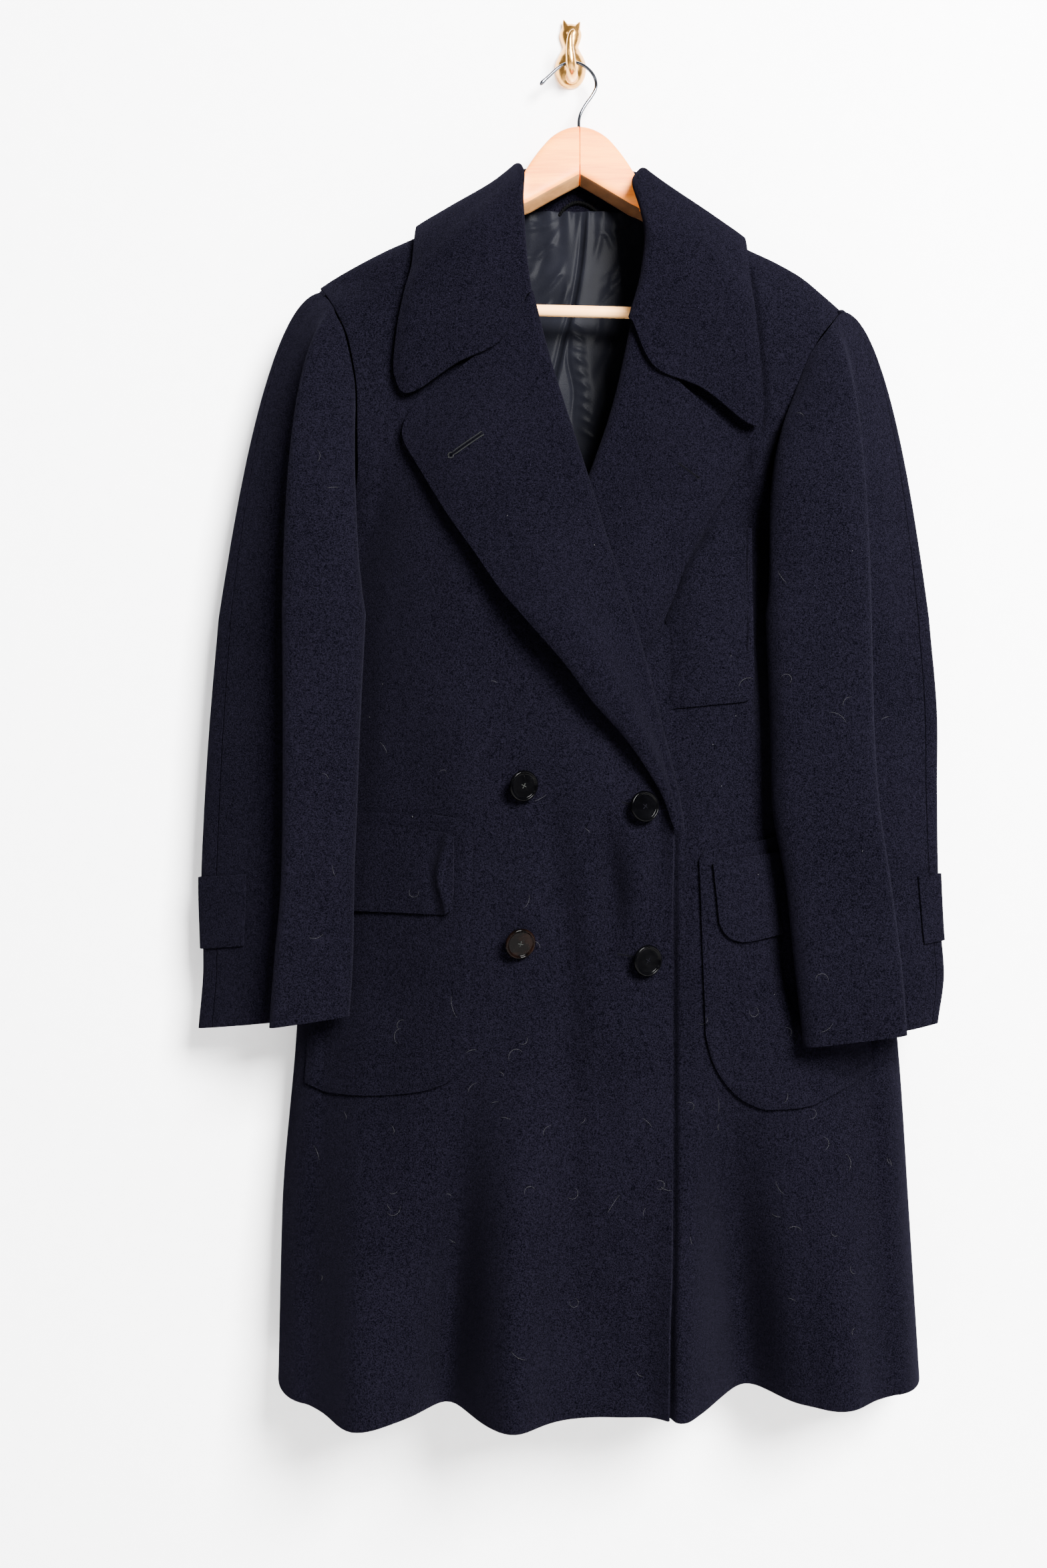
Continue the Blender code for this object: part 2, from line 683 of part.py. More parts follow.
cloth(
    "front_over",
    panel(1, BODY["z"], BODY["left"], EDGE_OVER["z"], EDGE_OVER["x"], over_y, shoulder, hem, -SEAM),
    spread((0.22, 5), (1.0, 13)), PANEL_V, CLOTH, NAVY, flip=True,
)
cloth(
    "front_under",
    panel(
        -1, BODY["z"], BODY["right"], EDGE_UNDER["z"], EDGE_UNDER["x"],
        front_y, shoulder, under_hem, -SEAM,
    ),
    spread((0.22, 5), (1.0, 13)), PANEL_V, CLOTH, NAVY, flip=False,
)
BACK_V = PANEL_V[:8] + PANEL_V[9::2]
BACK_Z = ARMHOLE_BACK["z"]
MIDDLE_Z = np.array([-1215.0, -144.0])
MIDDLE_X = np.array([6.7, 6.7])
cloth(
    "back_right",
    panel(1, BACK_Z, ARMHOLE_BACK["left"], MIDDLE_Z, MIDDLE_X - SEAM, back_y, back_top, hem, SEAM),
    spread((0.22, 3), (1.0, 6)), BACK_V, CLOTH, NAVY, flip=False,
)
cloth(
    "back_left",
    panel(-1, BACK_Z, ARMHOLE_BACK["right"], MIDDLE_Z, MIDDLE_X + SEAM, back_y, back_top, hem, SEAM),
    spread((0.22, 3), (1.0, 6)), BACK_V, CLOTH, NAVY, flip=True,
)

# Sleeves, each of a top piece and an under piece

SEAM_BACK, SEAM_FRONT, TINY = 6.62, 11.6, 0.012
TOP_U = spread((0.13, 2), (0.52, 4), (0.72, 6), (1.0, 3))
SLEEVE_V = spread((0.04, 1), (0.46, 6), (1.0, 7))


def sleeve_pair(side, cap, arm, end, mirrored):
    top = sleeve(cap, arm, SEAM_FRONT - RING + TINY, SEAM_BACK - TINY, end)
    under = sleeve(cap, arm, SEAM_BACK + TINY, SEAM_FRONT - TINY, end)
    cloth(f"sleeve_top_{side}", top, TOP_U, SLEEVE_V, CLOTH, NAVY, flip=mirrored)
    cloth(f"sleeve_under_{side}", under, spread((1.0, 9)), SLEEVE_V, CLOTH, NAVY, flip=mirrored)


sleeve_pair("right", CAP_LEFT, ARM_LEFT, -886.0, False)
sleeve_pair("left", CAP_RIGHT, ARM_RIGHT, -892.0, True)


def cuff_tab(cap, arm, begin, until, high, low, end, flip):
    """A tab round the back of the cuff, moved out from the sleeve."""
    top, share = -520.0, 0.46
    around = sleeve(cap, arm, begin, until, end)

    def surface(u, v):
        level = high + (low - high) * v
        down = share + (1 - share) * (level - top) / (end - top)
        return around(u, down) + normals_of(around, u, down, flip) * (LAID + POCKET)

    return surface


cloth(
    "cuff_tab_right", cuff_tab(CAP_LEFT, ARM_LEFT, 6.1, 8.3, -751.0, -815.0, -886.0, False),
    spread((1.0, 8)), spread((1.0, 3)), POCKET, NAVY, flip=False,
)
cloth(
    "cuff_tab_left", cuff_tab(CAP_RIGHT, ARM_RIGHT, 6.3, 8.3, -758.0, -819.0, -892.0, True),
    spread((1.0, 8)), spread((1.0, 3)), POCKET, NAVY, flip=True,
)

# Lapels and collar

cloth(
    "lapel_over", lapel(LAPEL_OVER, 1, over_y),
    spread((0.13, 4), (1.0, 9)), spread((1.0, 15)), FACING, NAVY, flip=True,
)
cloth(
    "lapel_under", lapel(LAPEL_UNDER, -1, front_y),
    spread((0.13, 4), (1.0, 8)), spread((1.0, 14)), FACING, NAVY, flip=False,
)
cloth("collar", collar, spread((0.2, 2), (0.42, 5), (1.0, 6)), spread((1.0, 28)), FACING, NAVY, flip=False)

# Pockets and flaps

for name, rows, sides, depth, out in (
    ("pocket_over", POCKET_OVER, (-222, -87, -236, -90), over_y, LAID + 0.6 + POCKET),
    ("pocket_under", POCKET_UNDER, (107, 248, 112, 276), front_y, LAID + 1.4 + POCKET),
    ("pocket_breast", POCKET_BREAST, (72, 156, 72, 157), chest_y, LAID + 1.4 + POCKET),
    ("flap_over", FLAP_OVER, (-214, -101, -220, -103), over_y, 2 * (LAID + POCKET) + 1.2),
    ("flap_under", FLAP_UNDER, (118, 240, 123, 252), front_y, 2 * (LAID + POCKET) + 2.2),
):
    steps = 4 if name.startswith("flap") else 7
    cloth(
        name, laid(rows, sides, depth, out),
        spread((1.0, 11)), spread((1.0, steps)), POCKET, NAVY, flip=True,
    )

# Lining


def lining(u, v):
    z = -152.0 + (-1165.0 + 152.0) * v
    left = smooth(z, ARMHOLE_BACK["z"], ARMHOLE_BACK["left"]) + 34.0
    right = smooth(z, ARMHOLE_BACK["z"], ARMHOLE_BACK["right"]) - 34.0
    open_neck = ease((z + 340.0) / 140.0)
    left = left + (-32.0 - left) * open_neck
    right = right + (46.0 - right) * open_neck
    x = left + (right - left) * u
    return np.stack([x, lining_y(z), z], axis=-1)


cloth(
    "lining_back", lining, spread((1.0, 8)), spread((0.3, 6), (1.0, 7)),
    LINING, SATIN, flip=True, roughness=0.35,
)

# Hard pieces: solids lofted through rings


def solid(name, rings, color, roughness, metallic=0.0, link=COAT):
    """A closed solid through rings of points, with flat ends."""
    rings = np.asarray(rings, float)
    count, around = rings.shape[:2]
    faces = []
    for r in range(count - 1):
        for k in range(around):
            a, b = r * around + k, r * around + (k + 1) % around
            faces.append((a, b, b + around, a + around))
    faces.append(tuple(range(around))[::-1])
    faces.append(tuple((count - 1) * around + k for k in range(around)))
    mesh = mesh_of(name, rings.reshape(-1, 3), faces)
    shape = bmesh.new()
    shape.from_mesh(mesh)
    bmesh.ops.recalc_face_normals(shape, faces=shape.faces[:])
    shape.to_mesh(mesh)
    shape.free()
    obj = finish(name, mesh, color, roughness, metallic)
    if link is not COAT:
        COAT.objects.unlink(obj)
        link.objects.link(obj)
        obj.display_type = "WIRE"
    return obj


def tube(path, radii, around):
    """Rings of a round rod along a path of points."""
    path = np.asarray(path, float)
    radii = np.broadcast_to(np.asarray(radii, float), (len(path),))
    along = unit(np.gradient(path, axis=0))
    side = np.array([0.0, 1.0, 0.0])
    rings = []
    for point, ahead, radius in zip(path, along, radii):
        side = unit(side - ahead * np.dot(side, ahead))
        other = np.cross(ahead, side)
        turn = np.arange(around) * 2 * math.pi / around
        rings.append(point + radius * (np.cos(turn)[:, None] * side + np.sin(turn)[:, None] * other))
    return rings


def carve(obj, cutter, operation):
    change = obj.modifiers.new(operation.lower(), "BOOLEAN")
    change.operation = operation
    change.solver = "EXACT"
    change.object = cutter
    return change


WOOD = (0.78, 0.56, 0.38)
BRASS = (0.80, 0.55, 0.28)
STEEL = (0.75, 0.76, 0.78)
HORN = (0.012, 0.011, 0.012)
MIDDLE = 6.7
TILT = 0.026

HANGER = table(
    "out top low half y",
    [
        (0, -71.3, -119, 9.5, -31), (6, -72, -122, 9.5, -31), (13, -74, -125.5, 9.5, -31),
        (24, -80.5, -131, 9.5, -31), (34.5, -92, -136, 9.5, -31), (45, -107, -141.5, 9.5, -31),
        (52, -120, -145, 9.5, -32), (58, -134, -152, 9, -35), (70, -147, -164, 8.5, -39),
        (90, -158, -176, 8.5, -40), (120, -173.7, -193, 8.5, -39), (150, -189.5, -209, 8.5, -38),
        (180, -203.2, -226, 8.5, -36.2), (192, -209.2, -240, 8.8, -35.8),
        (199, -214.2, -252, 8.8, -35.6), (214, -227.2, -257, 8.8, -35.5),
    ],
)


def hanger_half(side):
    rings = []
    for out, top, low, half, y0 in zip(*HANGER.values()):
        x = MIDDLE + side * max(out, 0.15)
        turn = np.arange(12) * 2 * math.pi / 12 + math.pi / 12
        across = np.sign(np.cos(turn)) * np.abs(np.cos(turn)) ** 0.5
        up = np.sign(np.sin(turn)) * np.abs(np.sin(turn)) ** 0.5
        z = 0.5 * (top + low) + 0.5 * (top - low) * up - side * out * TILT
        y = y0 + 0.1 * (100 + z) + half * across
        rings.append(np.stack([np.full_like(z, x), y, z], axis=-1))
    return rings


def bar_point(out):
    z = -243.5 - out * TILT
    return (MIDDLE + out, -35.5 + 0.1 * (100 + z), z)


wire_path = [(6.3, -26.5, -60), (6.3, -30.0, -92)]
wire_hole = solid("wire_hole", tube(wire_path, 1.8, 12), STEEL, 0.5, link=CUTTERS)
bar_path = [bar_point(-203.5), bar_point(203.5)]
bar_hole = solid("bar_hole", tube(bar_path, 5.5, 16), WOOD, 0.5, link=CUTTERS)
for name, side in (("hanger_right", -1), ("hanger_left", 1)):
    half = solid(name, hanger_half(side), WOOD, 0.45)
    carve(half, wire_hole, "DIFFERENCE")
    carve(half, bar_hole, "DIFFERENCE")
solid("hanger_bar", tube([bar_point(-203.2), bar_point(203.2)], 5.2, 16), WOOD, 0.45)

WIRE = [
    (-25.5, -22, -25.2), (-20, -22, -20), (-13.5, -22, -14.0), (-7, -22, -10.1), (0, -22, -8.35),
    (7, -22, -9.3), (13.5, -22, -12.8), (19, -22, -18.5), (22, -22.2, -25.5), (21.8, -22.8, -32.5),
    (18, -23.6, -40), (12.5, -24.6, -48), (8.2, -25.7, -56), (6.4, -26.7, -63), (6.3, -27.8, -72),
    (6.3, -29.6, -88.5),
]
solid("hanger_wire", tube(WIRE, [1.9, 1.5] + [1.5] * 14, 8), STEEL, 0.2, 1.0)

# The wall hook: a cat seen from behind, whose tail is the hook

CAT = table(
    "z half depth",
    [
        (-23.5, 3.0, 2.5), (-21.5, 7.6, 6.0), (-17, 11.6, 10.0), (-11, 14.0, 12.6), (-4, 14.8, 13.2),
        (3, 12.9, 12.0), (9, 9.8, 9.6), (14.7, 7.4, 8.0), (19.5, 9.0, 8.8), (25.8, 10.4, 10.0),
        (31, 9.0, 8.6), (34.5, 6.0, 5.6), (36.3, 2.0, 2.0),
    ],
)
EAR_LEFT = ([(-4.6, -4.0, 30.0), (-6.2, -4.0, 35.5), (-7.2, -3.6, 39.6)], [4.0, 2.4, 0.5])
EAR_RIGHT = ([(4.4, -4.0, 29.0), (6.6, -4.0, 34.0), (8.3, -3.6, 37.6)], [4.0, 2.4, 0.5])
TAIL = (
    [
        (0.4, -6, -15.5), (0.4, -14, -16.6), (0.2, -21.5, -16.2), (-0.6, -27, -12.6), (-1.4, -29.6, -6),
        (-2.0, -30.8, 2), (-1.9, -31.6, 9.5), (-0.6, -31.6, 15), (2.0, -30.8, 18.0),
    ],
    [5.2, 5.3, 5.2, 4.9, 4.5, 3.9, 3.2, 2.5, 1.4],
)


def cat_rings():
    rings = []
    for z, half, depth in zip(*CAT.values()):
        turn = np.linspace(0, math.pi, 13)
        x = -0.5 + half * np.cos(turn)
        y = -np.abs(depth * np.sin(turn))
        ring = np.stack([x, y, np.full_like(x, z)], axis=-1)
        rings.append(ring)
    return rings


hook = solid("wall_hook", cat_rings(), BRASS, 0.3, 1.0)
for name, (path, radii), around in (
    ("ear_left", EAR_LEFT, 8), ("ear_right", EAR_RIGHT, 8), ("tail", TAIL, 10),
):
    carve(hook, solid(name, tube(path, radii, around), BRASS, 0.3, 1.0, link=CUTTERS), "UNION")

# Buttons and the hang loop

BUTTON = [(0.6, 0.0), (11.4, 0.0), (13.4, 1.3), (13.4, 3.0), (12.3, 4.2), (10.7, 4.0), (9.6, 2.9), (0.6, 2.7)]
BUTTONS = table(
    "x z turn out tip lean",
    [
        (-45, -669, 20, 1.5, 4, -3), (58, -687, 5, 1.4, 3, 5),
        (-47.5, -802.5, 35, 0.6, -5, -4), (60, -817, 12, 1.5, 4, 6),
    ],
)


def button_rings(steps=14):
    turn = np.arange(steps) * 2 * math.pi / steps
    return [
        np.stack([r * np.cos(turn), np.full(steps, -h), r * np.sin(turn)], axis=-1) for r, h in BUTTON
    ]


def placed(points, x, z, out, tip, lean):
    """Points of a button, set on the front that laps over."""
    a, b = math.radians(tip), math.radians(lean)
    tilt_x = np.array([[1, 0, 0], [0, math.cos(a), -math.sin(a)], [0, math.sin(a), math.cos(a)]])
    tilt_z = np.array([[math.cos(b), -math.sin(b), 0], [math.sin(b), math.cos(b), 0], [0, 0, 1]])
    y = float(over_y(np.array([x]), np.array([z]))[0]) - out
    return np.asarray(points) @ (tilt_z @ tilt_x).T + np.array([x, y, z])


for i, (x, z, turn, out, tip, lean) in enumerate(zip(*BUTTONS.values())):
    button = solid(f"button_{i + 1}", placed(button_rings(), x, z, out, tip, lean), HORN, 0.25)
    for k in range(4):
        angle = math.radians(turn + 90 * k)
        middle = np.array([3.3 * math.cos(angle), 0.0, 3.3 * math.sin(angle)])
        ends = placed([middle + (0, 4, 0), middle + (0, -8, 0)], x, z, out, tip, lean)
        hole = solid(f"button_{i + 1}_hole_{k + 1}", tube(ends, 1.1, 5), HORN, 0.5, link=CUTTERS)
        carve(button, hole, "DIFFERENCE")

LOOP = [
    (-11, -13.0, -145.5), (-9, -13.4, -142.0), (-4.5, -14.0, -137.5), (1.5, -14.4, -134.4),
    (7, -14.5, -133.8), (13, -14.4, -135.2), (19, -14.0, -138.4), (23.5, -13.4, -142.6),
    (25.5, -13.0, -146.0),
]
solid("hang_loop", tube(LOOP, 1.3, 6), NAVY, 0.8)
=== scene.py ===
"""A navy wool coat on a wooden hanger, hung from a small brass wall hook, with its finishes."""

# %% [markdown]
# # A double-breasted wool coat on its hanger
#
# The coat is cut from heavy navy wool, lined with dark satin, and hangs from a wooden hanger on a small
# brass hook in the shape of a sitting cat. Each piece a tailor would cut is a piece here too, so the
# file follows the order in which a coat goes together: the body, the sleeves, the lapels and collar,
# the pockets, then the lining, the hanger, the hook and the sewing.

import json
import math

import bmesh
import bpy
import numpy as np
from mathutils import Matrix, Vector
from mathutils.bvhtree import BVHTree

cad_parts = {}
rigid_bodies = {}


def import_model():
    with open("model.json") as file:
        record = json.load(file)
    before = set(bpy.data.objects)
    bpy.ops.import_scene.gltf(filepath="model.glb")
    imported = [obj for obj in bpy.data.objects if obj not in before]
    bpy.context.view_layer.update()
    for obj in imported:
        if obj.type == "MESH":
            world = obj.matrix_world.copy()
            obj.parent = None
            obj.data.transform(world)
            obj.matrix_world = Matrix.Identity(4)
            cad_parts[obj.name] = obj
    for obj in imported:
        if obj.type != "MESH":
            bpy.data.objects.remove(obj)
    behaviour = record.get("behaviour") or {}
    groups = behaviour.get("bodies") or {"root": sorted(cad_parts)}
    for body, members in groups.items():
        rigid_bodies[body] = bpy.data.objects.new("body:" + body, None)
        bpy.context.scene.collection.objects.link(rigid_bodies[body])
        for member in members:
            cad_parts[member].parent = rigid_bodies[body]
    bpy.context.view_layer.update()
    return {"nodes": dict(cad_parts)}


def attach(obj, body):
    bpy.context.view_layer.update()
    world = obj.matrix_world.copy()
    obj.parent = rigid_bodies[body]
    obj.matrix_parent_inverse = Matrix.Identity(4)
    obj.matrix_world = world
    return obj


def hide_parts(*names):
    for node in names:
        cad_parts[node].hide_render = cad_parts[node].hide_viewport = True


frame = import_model()
print(len(frame["nodes"]), "solid pieces in the frame")

# %% [markdown]
# ## The camera
#
# The photograph was taken level, from about 1.6 m in front of the wall. A 40 mm lens on a tall frame
# gives the same view, so the camera is set first and everything is judged through it.

# %% Camera
def put(name, data):
    """A new object of the scene that holds this mesh, lamp or camera."""
    obj = bpy.data.objects.new(name, data)
    bpy.context.scene.collection.objects.link(obj)
    return obj


lens = bpy.data.cameras.new("front_camera")
lens.lens = 39.63  # in millimetres, on a sensor 36 mm long
lens.clip_end = 60.0
camera = put("front_camera", lens)
camera.location = (-0.0441, -1.6, -0.6678)
camera.rotation_euler = (math.radians(90), 0.0, 0.0)
bpy.context.scene.camera = camera
print("camera at", tuple(round(n, 3) for n in camera.location))

# %% [markdown]
# ## Small tools for smooth shapes
#
# Cloth is described by short tables of places, and a smooth curve runs between them. The curve used
# here never swings past its places, so a straight edge in a table stays straight in the cloth.

# %% Curves through short tables
MM = 0.001
CLOTH = 2.5  # thickness of the wool
FACING = 3.0  # wool backed with canvas, in the lapels and the collar
POCKET = 2.0  # wool without the lining, in pockets, flaps and tabs
LINING = 1.0
SEAM = 0.15  # half the gap between two pieces at a seam
LAID = 0.8  # air between a patch and the cloth it is sewn to
MIDDLE = 6.7  # seen from the front, the coat hangs this far to the right of the hook
WALL_SIDE = -5.4  # the back's outer face
LINING_AIR = 3.0  # air between the back and its lining
UNDERARM = -470.0  # level of the armholes' low ends
HEM = -1199.5
RIDGE_Y = -48.0  # the ridge of the shoulders, where front and back meet
RIDGE_DROP = 55.0  # height over which the cloth comes over from that ridge
WRAP = 0.06  # share of the body's width that turns round to each side seam
OVERLAP = 14.0  # how far the front that laps over stands off the other


def table(names, rows):
    """Named columns of a short table, one row per section."""
    return {name: np.array([row[i] for row in rows], float) for i, name in enumerate(names.split())}


def cubic(t, a, leaving, b, arriving):
    """A curve from a (t = 0) to b (t = 1) with a given slope at either end."""
    t2, t3 = t * t, t * t * t
    return (
        (2 * t3 - 3 * t2 + 1) * a
        + (t3 - 2 * t2 + t) * leaving
        + (3 * t2 - 2 * t3) * b
        + (t3 - t2) * arriving
    )


def smooth(at, keys, values):
    """A cubic through values at keys that never overshoots. Values may hold one column per point."""
    keys = np.asarray(keys, float)
    values = np.asarray(values, float)
    if keys[0] > keys[-1]:
        keys, values = keys[::-1], values[::-1]
    at = np.clip(at, keys[0], keys[-1])
    many = values.ndim > 1
    step = np.diff(keys)
    if many:
        step = step.reshape((-1,) + (1,) * (values.ndim - 1))
    slope = np.diff(values, axis=0) / step
    tangent = np.zeros_like(values)
    before, after = slope[:-1], slope[1:]
    product = before * after
    safe = np.where(product > 0, before + after, 1.0)
    tangent[1:-1] = np.where(product > 0, 2 * product / safe, 0.0)
    tangent[0], tangent[-1] = slope[0], slope[-1]
    i = np.clip(np.searchsorted(keys, at, side="right") - 1, 0, len(keys) - 2)
    width = np.diff(keys)[i]
    t = (at - keys[i]) / width
    if many:
        columns = np.arange(values.shape[1]) if np.ndim(at) else slice(None)
        a, b = values[i, columns], values[i + 1, columns]
        ma, mb = tangent[i, columns], tangent[i + 1, columns]
    else:
        a, b, ma, mb = values[i], values[i + 1], tangent[i], tangent[i + 1]
    return cubic(t, a, width * ma, b, width * mb)


def read_off(rows, key, at, names):
    """The named columns of a table, at places along its key column."""
    return [smooth(at, rows[key], rows[name]) for name in names.split()]


def ease(t):
    """From 0 to 1, starting and ending gently."""
    t = np.clip(t, 0.0, 1.0)
    return t * t * (3 - 2 * t)


def bell(distance, half):
    """1 in the middle of a fold, and almost 0 at twice its half width."""
    return np.exp(-((distance / half) ** 2))


def unit(vectors):
    """The same directions, one long."""
    return vectors / np.maximum(np.linalg.norm(vectors, axis=-1, keepdims=True), 1e-9)


def round_corner(u, v, across, down):
    """Rows near v = 0 are bent back towards u = 1, so that the flat cut has a rounded corner there."""
    t = np.clip((u - (1 - across)) / across, 0.0, 1.0)
    back = down * (1 - np.sqrt(1 - t**2))
    return np.where(v < 3 * down, back + v * (1 - back / (3 * down)), v)


def normals_of(surface, u, v, flip):
    """Which way the cloth faces at these places."""
    small = 2e-4
    du = surface(np.clip(u + small, 0, 1), v) - surface(np.clip(u - small, 0, 1), v)
    dv = surface(u, np.clip(v + small, 0, 1)) - surface(u, np.clip(v - small, 0, 1))
    facing = unit(np.cross(du, dv))
    return -facing if flip else facing


print("halfway from 0 to 10:", float(smooth(0.5, [0, 1], [0, 10])))

# %% [markdown]
# ## A piece of cloth
#
# Each piece starts as a flat grid, as cloth starts flat. Its corners are carried onto the shape it
# hangs in, and the Solidify modifier gives it the thickness of the wool, with the lining's material
# on its inner side where the coat is lined. A small bevel then rounds the cut edges.

# %% From a flat grid to hanging cloth
EVEN = ((0, 1), (0, 1))
cloths = {}


def put_shape(name, shape):
    """A finished shape becomes an object, and the shape itself is let go."""
    mesh = bpy.data.meshes.new(name)
    shape.to_mesh(mesh)
    shape.free()
    return put(name, mesh)


def dress(obj, material, node=None, inside=None):
    """Its material and the lining's if it is lined, the solid it stands for and the body it moves with."""
    obj.data.materials.append(material)
    if inside:
        obj.data.materials.append(inside)
    if node:
        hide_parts(node)
    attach(obj, "root")
    return obj


def thicken(obj, wall, lined):
    """Thickness inwards, with the lining's material on the inner side, and rounded cut edges."""
    thick = obj.modifiers.new("thickness", "SOLIDIFY")
    thick.thickness = wall * MM
    thick.offset = -1.0
    thick.use_even_offset = False
    thick.material_offset = 1 if lined else 0
    edge = obj.modifiers.new("soft edge", "BEVEL")
    edge.width = (0.22 if wall == CLOTH else 0.42) * wall * MM
    edge.segments = 3
    edge.limit_method = "ANGLE"
    edge.angle_limit = math.radians(62)


def hang(node, surface, grid, flip, material, wall=CLOTH, us=EVEN, vs=EVEN, slot="wool", inside=None):
    """A flat grid of cloth is carried onto surface(u, v). It is kept in `cloths` by the solid's name."""
    shape = bmesh.new()
    bmesh.ops.create_grid(shape, x_segments=grid[0], y_segments=grid[1], size=0.5)
    flat = np.array([corner.co[:2] for corner in shape.verts])
    u = np.interp(flat[:, 0] + 0.5, *us)
    v = np.interp(0.5 - flat[:, 1], *vs)
    for corner, point in zip(shape.verts, surface(u[None], v[None])[0] * MM):
        corner.co = point
    if not flip:
        bmesh.ops.reverse_faces(shape, faces=shape.faces[:])
    count, area = len(shape.faces), sum(face.calc_area() for face in shape.faces)
    rows = surface(*np.meshgrid(np.linspace(0, 1, 41), np.linspace(0, 1, 41))) * MM
    wide = np.linalg.norm(np.diff(rows, axis=1), axis=-1).sum(axis=1).max()
    long = np.linalg.norm(np.diff(rows, axis=0), axis=-1).sum(axis=0).max()
    print(f"{node}: {count} faces, {area:.4f} m2, {wide:.3f} by {long:.3f} m when flat")
    cloths[node] = put_shape(f"{node}_cloth", shape)
    cloths[node].data.shade_smooth()
    thicken(cloths[node], wall, inside)
    dress(cloths[node], material, node, inside)

# %% [markdown]
# ## The finishes
#
# Melton wool is woven, then felted until the weave disappears under a short nap. What the eye sees is
# a fine grain of fibres, some lighter than others, and a soft bloom where the surface turns away. The
# grain is one node group, used by every wool piece with its own values. The bloom is the shader's
# sheen, a small value set on the wool's shader itself.

# %% Node groups
def noise(nodes, link, vector, scale, detail=2.0, rough=0.5):
    """A noise texture on that vector; scale may be a number or a socket."""
    node = nodes.new("ShaderNodeTexNoise")
    node.inputs["Detail"].default_value = detail
    node.inputs["Roughness"].default_value = rough
    if isinstance(scale, (int, float)):
        node.inputs["Scale"].default_value = scale
    else:
        link(scale, node.inputs["Scale"])
    link(vector, node.inputs["Vector"])
    return node.outputs["Fac"]


def maths(nodes, link, operation, a, b, c=None):
    """One step of arithmetic on sockets or numbers."""
    node = nodes.new("ShaderNodeMath")
    node.operation = operation
    for socket, value in zip(node.inputs, (a, b, c)):
        if value is None:
            continue
        if isinstance(value, (int, float)):
            socket.default_value = value
        else:
            link(value, socket)
    return node.outputs[0]


def nap_group():
    """Felted nap: a tone from 0 to 1 and a height, at three sizes of grain."""
    group = bpy.data.node_groups.new("felted nap", "ShaderNodeTree")
    group.interface.new_socket("Vector", in_out="INPUT", socket_type="NodeSocketVector")
    size = group.interface.new_socket("Grain", in_out="INPUT", socket_type="NodeSocketFloat")
    size.default_value = 700.0
    for title in ("Tone", "Height"):
        group.interface.new_socket(title, in_out="OUTPUT", socket_type="NodeSocketFloat")
    nodes, link = group.nodes, group.links.new
    start, end = nodes.new("NodeGroupInput"), nodes.new("NodeGroupOutput")
    vector, grain = start.outputs["Vector"], start.outputs["Grain"]
    fibres = noise(nodes, link, vector, grain, 3.0, 0.75)
    tufts = noise(nodes, link, vector, maths(nodes, link, "MULTIPLY", grain, 0.3), 2.0, 0.5)
    wear = noise(nodes, link, vector, 9.0, 2.0, 0.5)
    tone = maths(nodes, link, "MULTIPLY", fibres, 0.84)
    tone = maths(nodes, link, "MULTIPLY_ADD", tufts, 0.10, tone)
    tone = maths(nodes, link, "MULTIPLY_ADD", wear, 0.06, tone)
    height = maths(nodes, link, "MULTIPLY_ADD", tufts, 0.2, maths(nodes, link, "MULTIPLY", fibres, 0.8))
    link(tone, end.inputs["Tone"])
    link(height, end.inputs["Height"])
    return group


NAP = nap_group()
print("group", NAP.name, "with outputs", [s.name for s in NAP.interface.items_tree if s.in_out == "OUTPUT"])

# %% Wool
def new_material(name, **plain):
    """A material with its shader's plain values set: (material, nodes, link, shader, object coordinates)."""
    material = bpy.data.materials.new(name)
    material.use_nodes = True
    nodes = material.node_tree.nodes
    shader = nodes["Principled BSDF"]
    for title, value in plain.items():
        shader.inputs[title.replace("_", " ").title().replace("Ior", "IOR")].default_value = value
    where = nodes.new("ShaderNodeTexCoord").outputs["Object"]
    return material, nodes, material.node_tree.links.new, shader, where


def darker(color, share):
    """The same colour with this share of its light; over 1 it is lighter."""
    return tuple(share * c for c in color)


def ramp(nodes, link, value, stops):
    """Colours along a value from 0 to 1."""
    node = nodes.new("ShaderNodeValToRGB")
    while len(node.color_ramp.elements) < len(stops):
        node.color_ramp.elements.new(0.5)
    for element, (at, color) in zip(node.color_ramp.elements, stops):
        element.position = at
        element.color = (*color, 1.0)
    link(value, node.inputs["Fac"])
    return node.outputs["Color"]


def raised(nodes, link, shader, height, strength, distance):
    """The height of a pattern, as a bump on the shader."""
    bump = nodes.new("ShaderNodeBump")
    bump.inputs["Strength"].default_value = strength
    bump.inputs["Distance"].default_value = distance
    link(height, bump.inputs["Height"])
    link(bump.outputs["Normal"], shader.inputs["Normal"])


def wool(name, dark, light, grain=860.0, bump=0.6):
    """Navy melton: the nap's tone picks the colour between two blues."""
    material, nodes, link, shader, where = new_material(
        name, roughness=1.0, sheen_weight=0.008, sheen_roughness=0.5, specular_ior_level=0.0,
        sheen_tint=(0.7, 0.66, 1.0, 1.0),
    )
    nap = nodes.new("ShaderNodeGroup")
    nap.node_tree = NAP
    nap.inputs["Grain"].default_value = grain
    link(where, nap.inputs["Vector"])
    middle = tuple(0.5 * (a + b) for a, b in zip(dark, light))
    tone = ramp(nodes, link, nap.outputs["Tone"], [(0.4, dark), (0.5, middle), (0.59, light)])
    link(tone, shader.inputs["Base Color"])
    raised(nodes, link, shader, nap.outputs["Height"], bump, 0.0012)
    return material


NAVY = (0.0003, 0.0003, 0.0006)
WOOL = wool("navy wool", NAVY, (0.0029, 0.0026, 0.0047))
WOOL_FACING = wool("navy wool of the facings", NAVY, (0.0027, 0.0024, 0.0044), 880.0, 0.65)
print("wool ready:", WOOL.name, "and", WOOL_FACING.name)

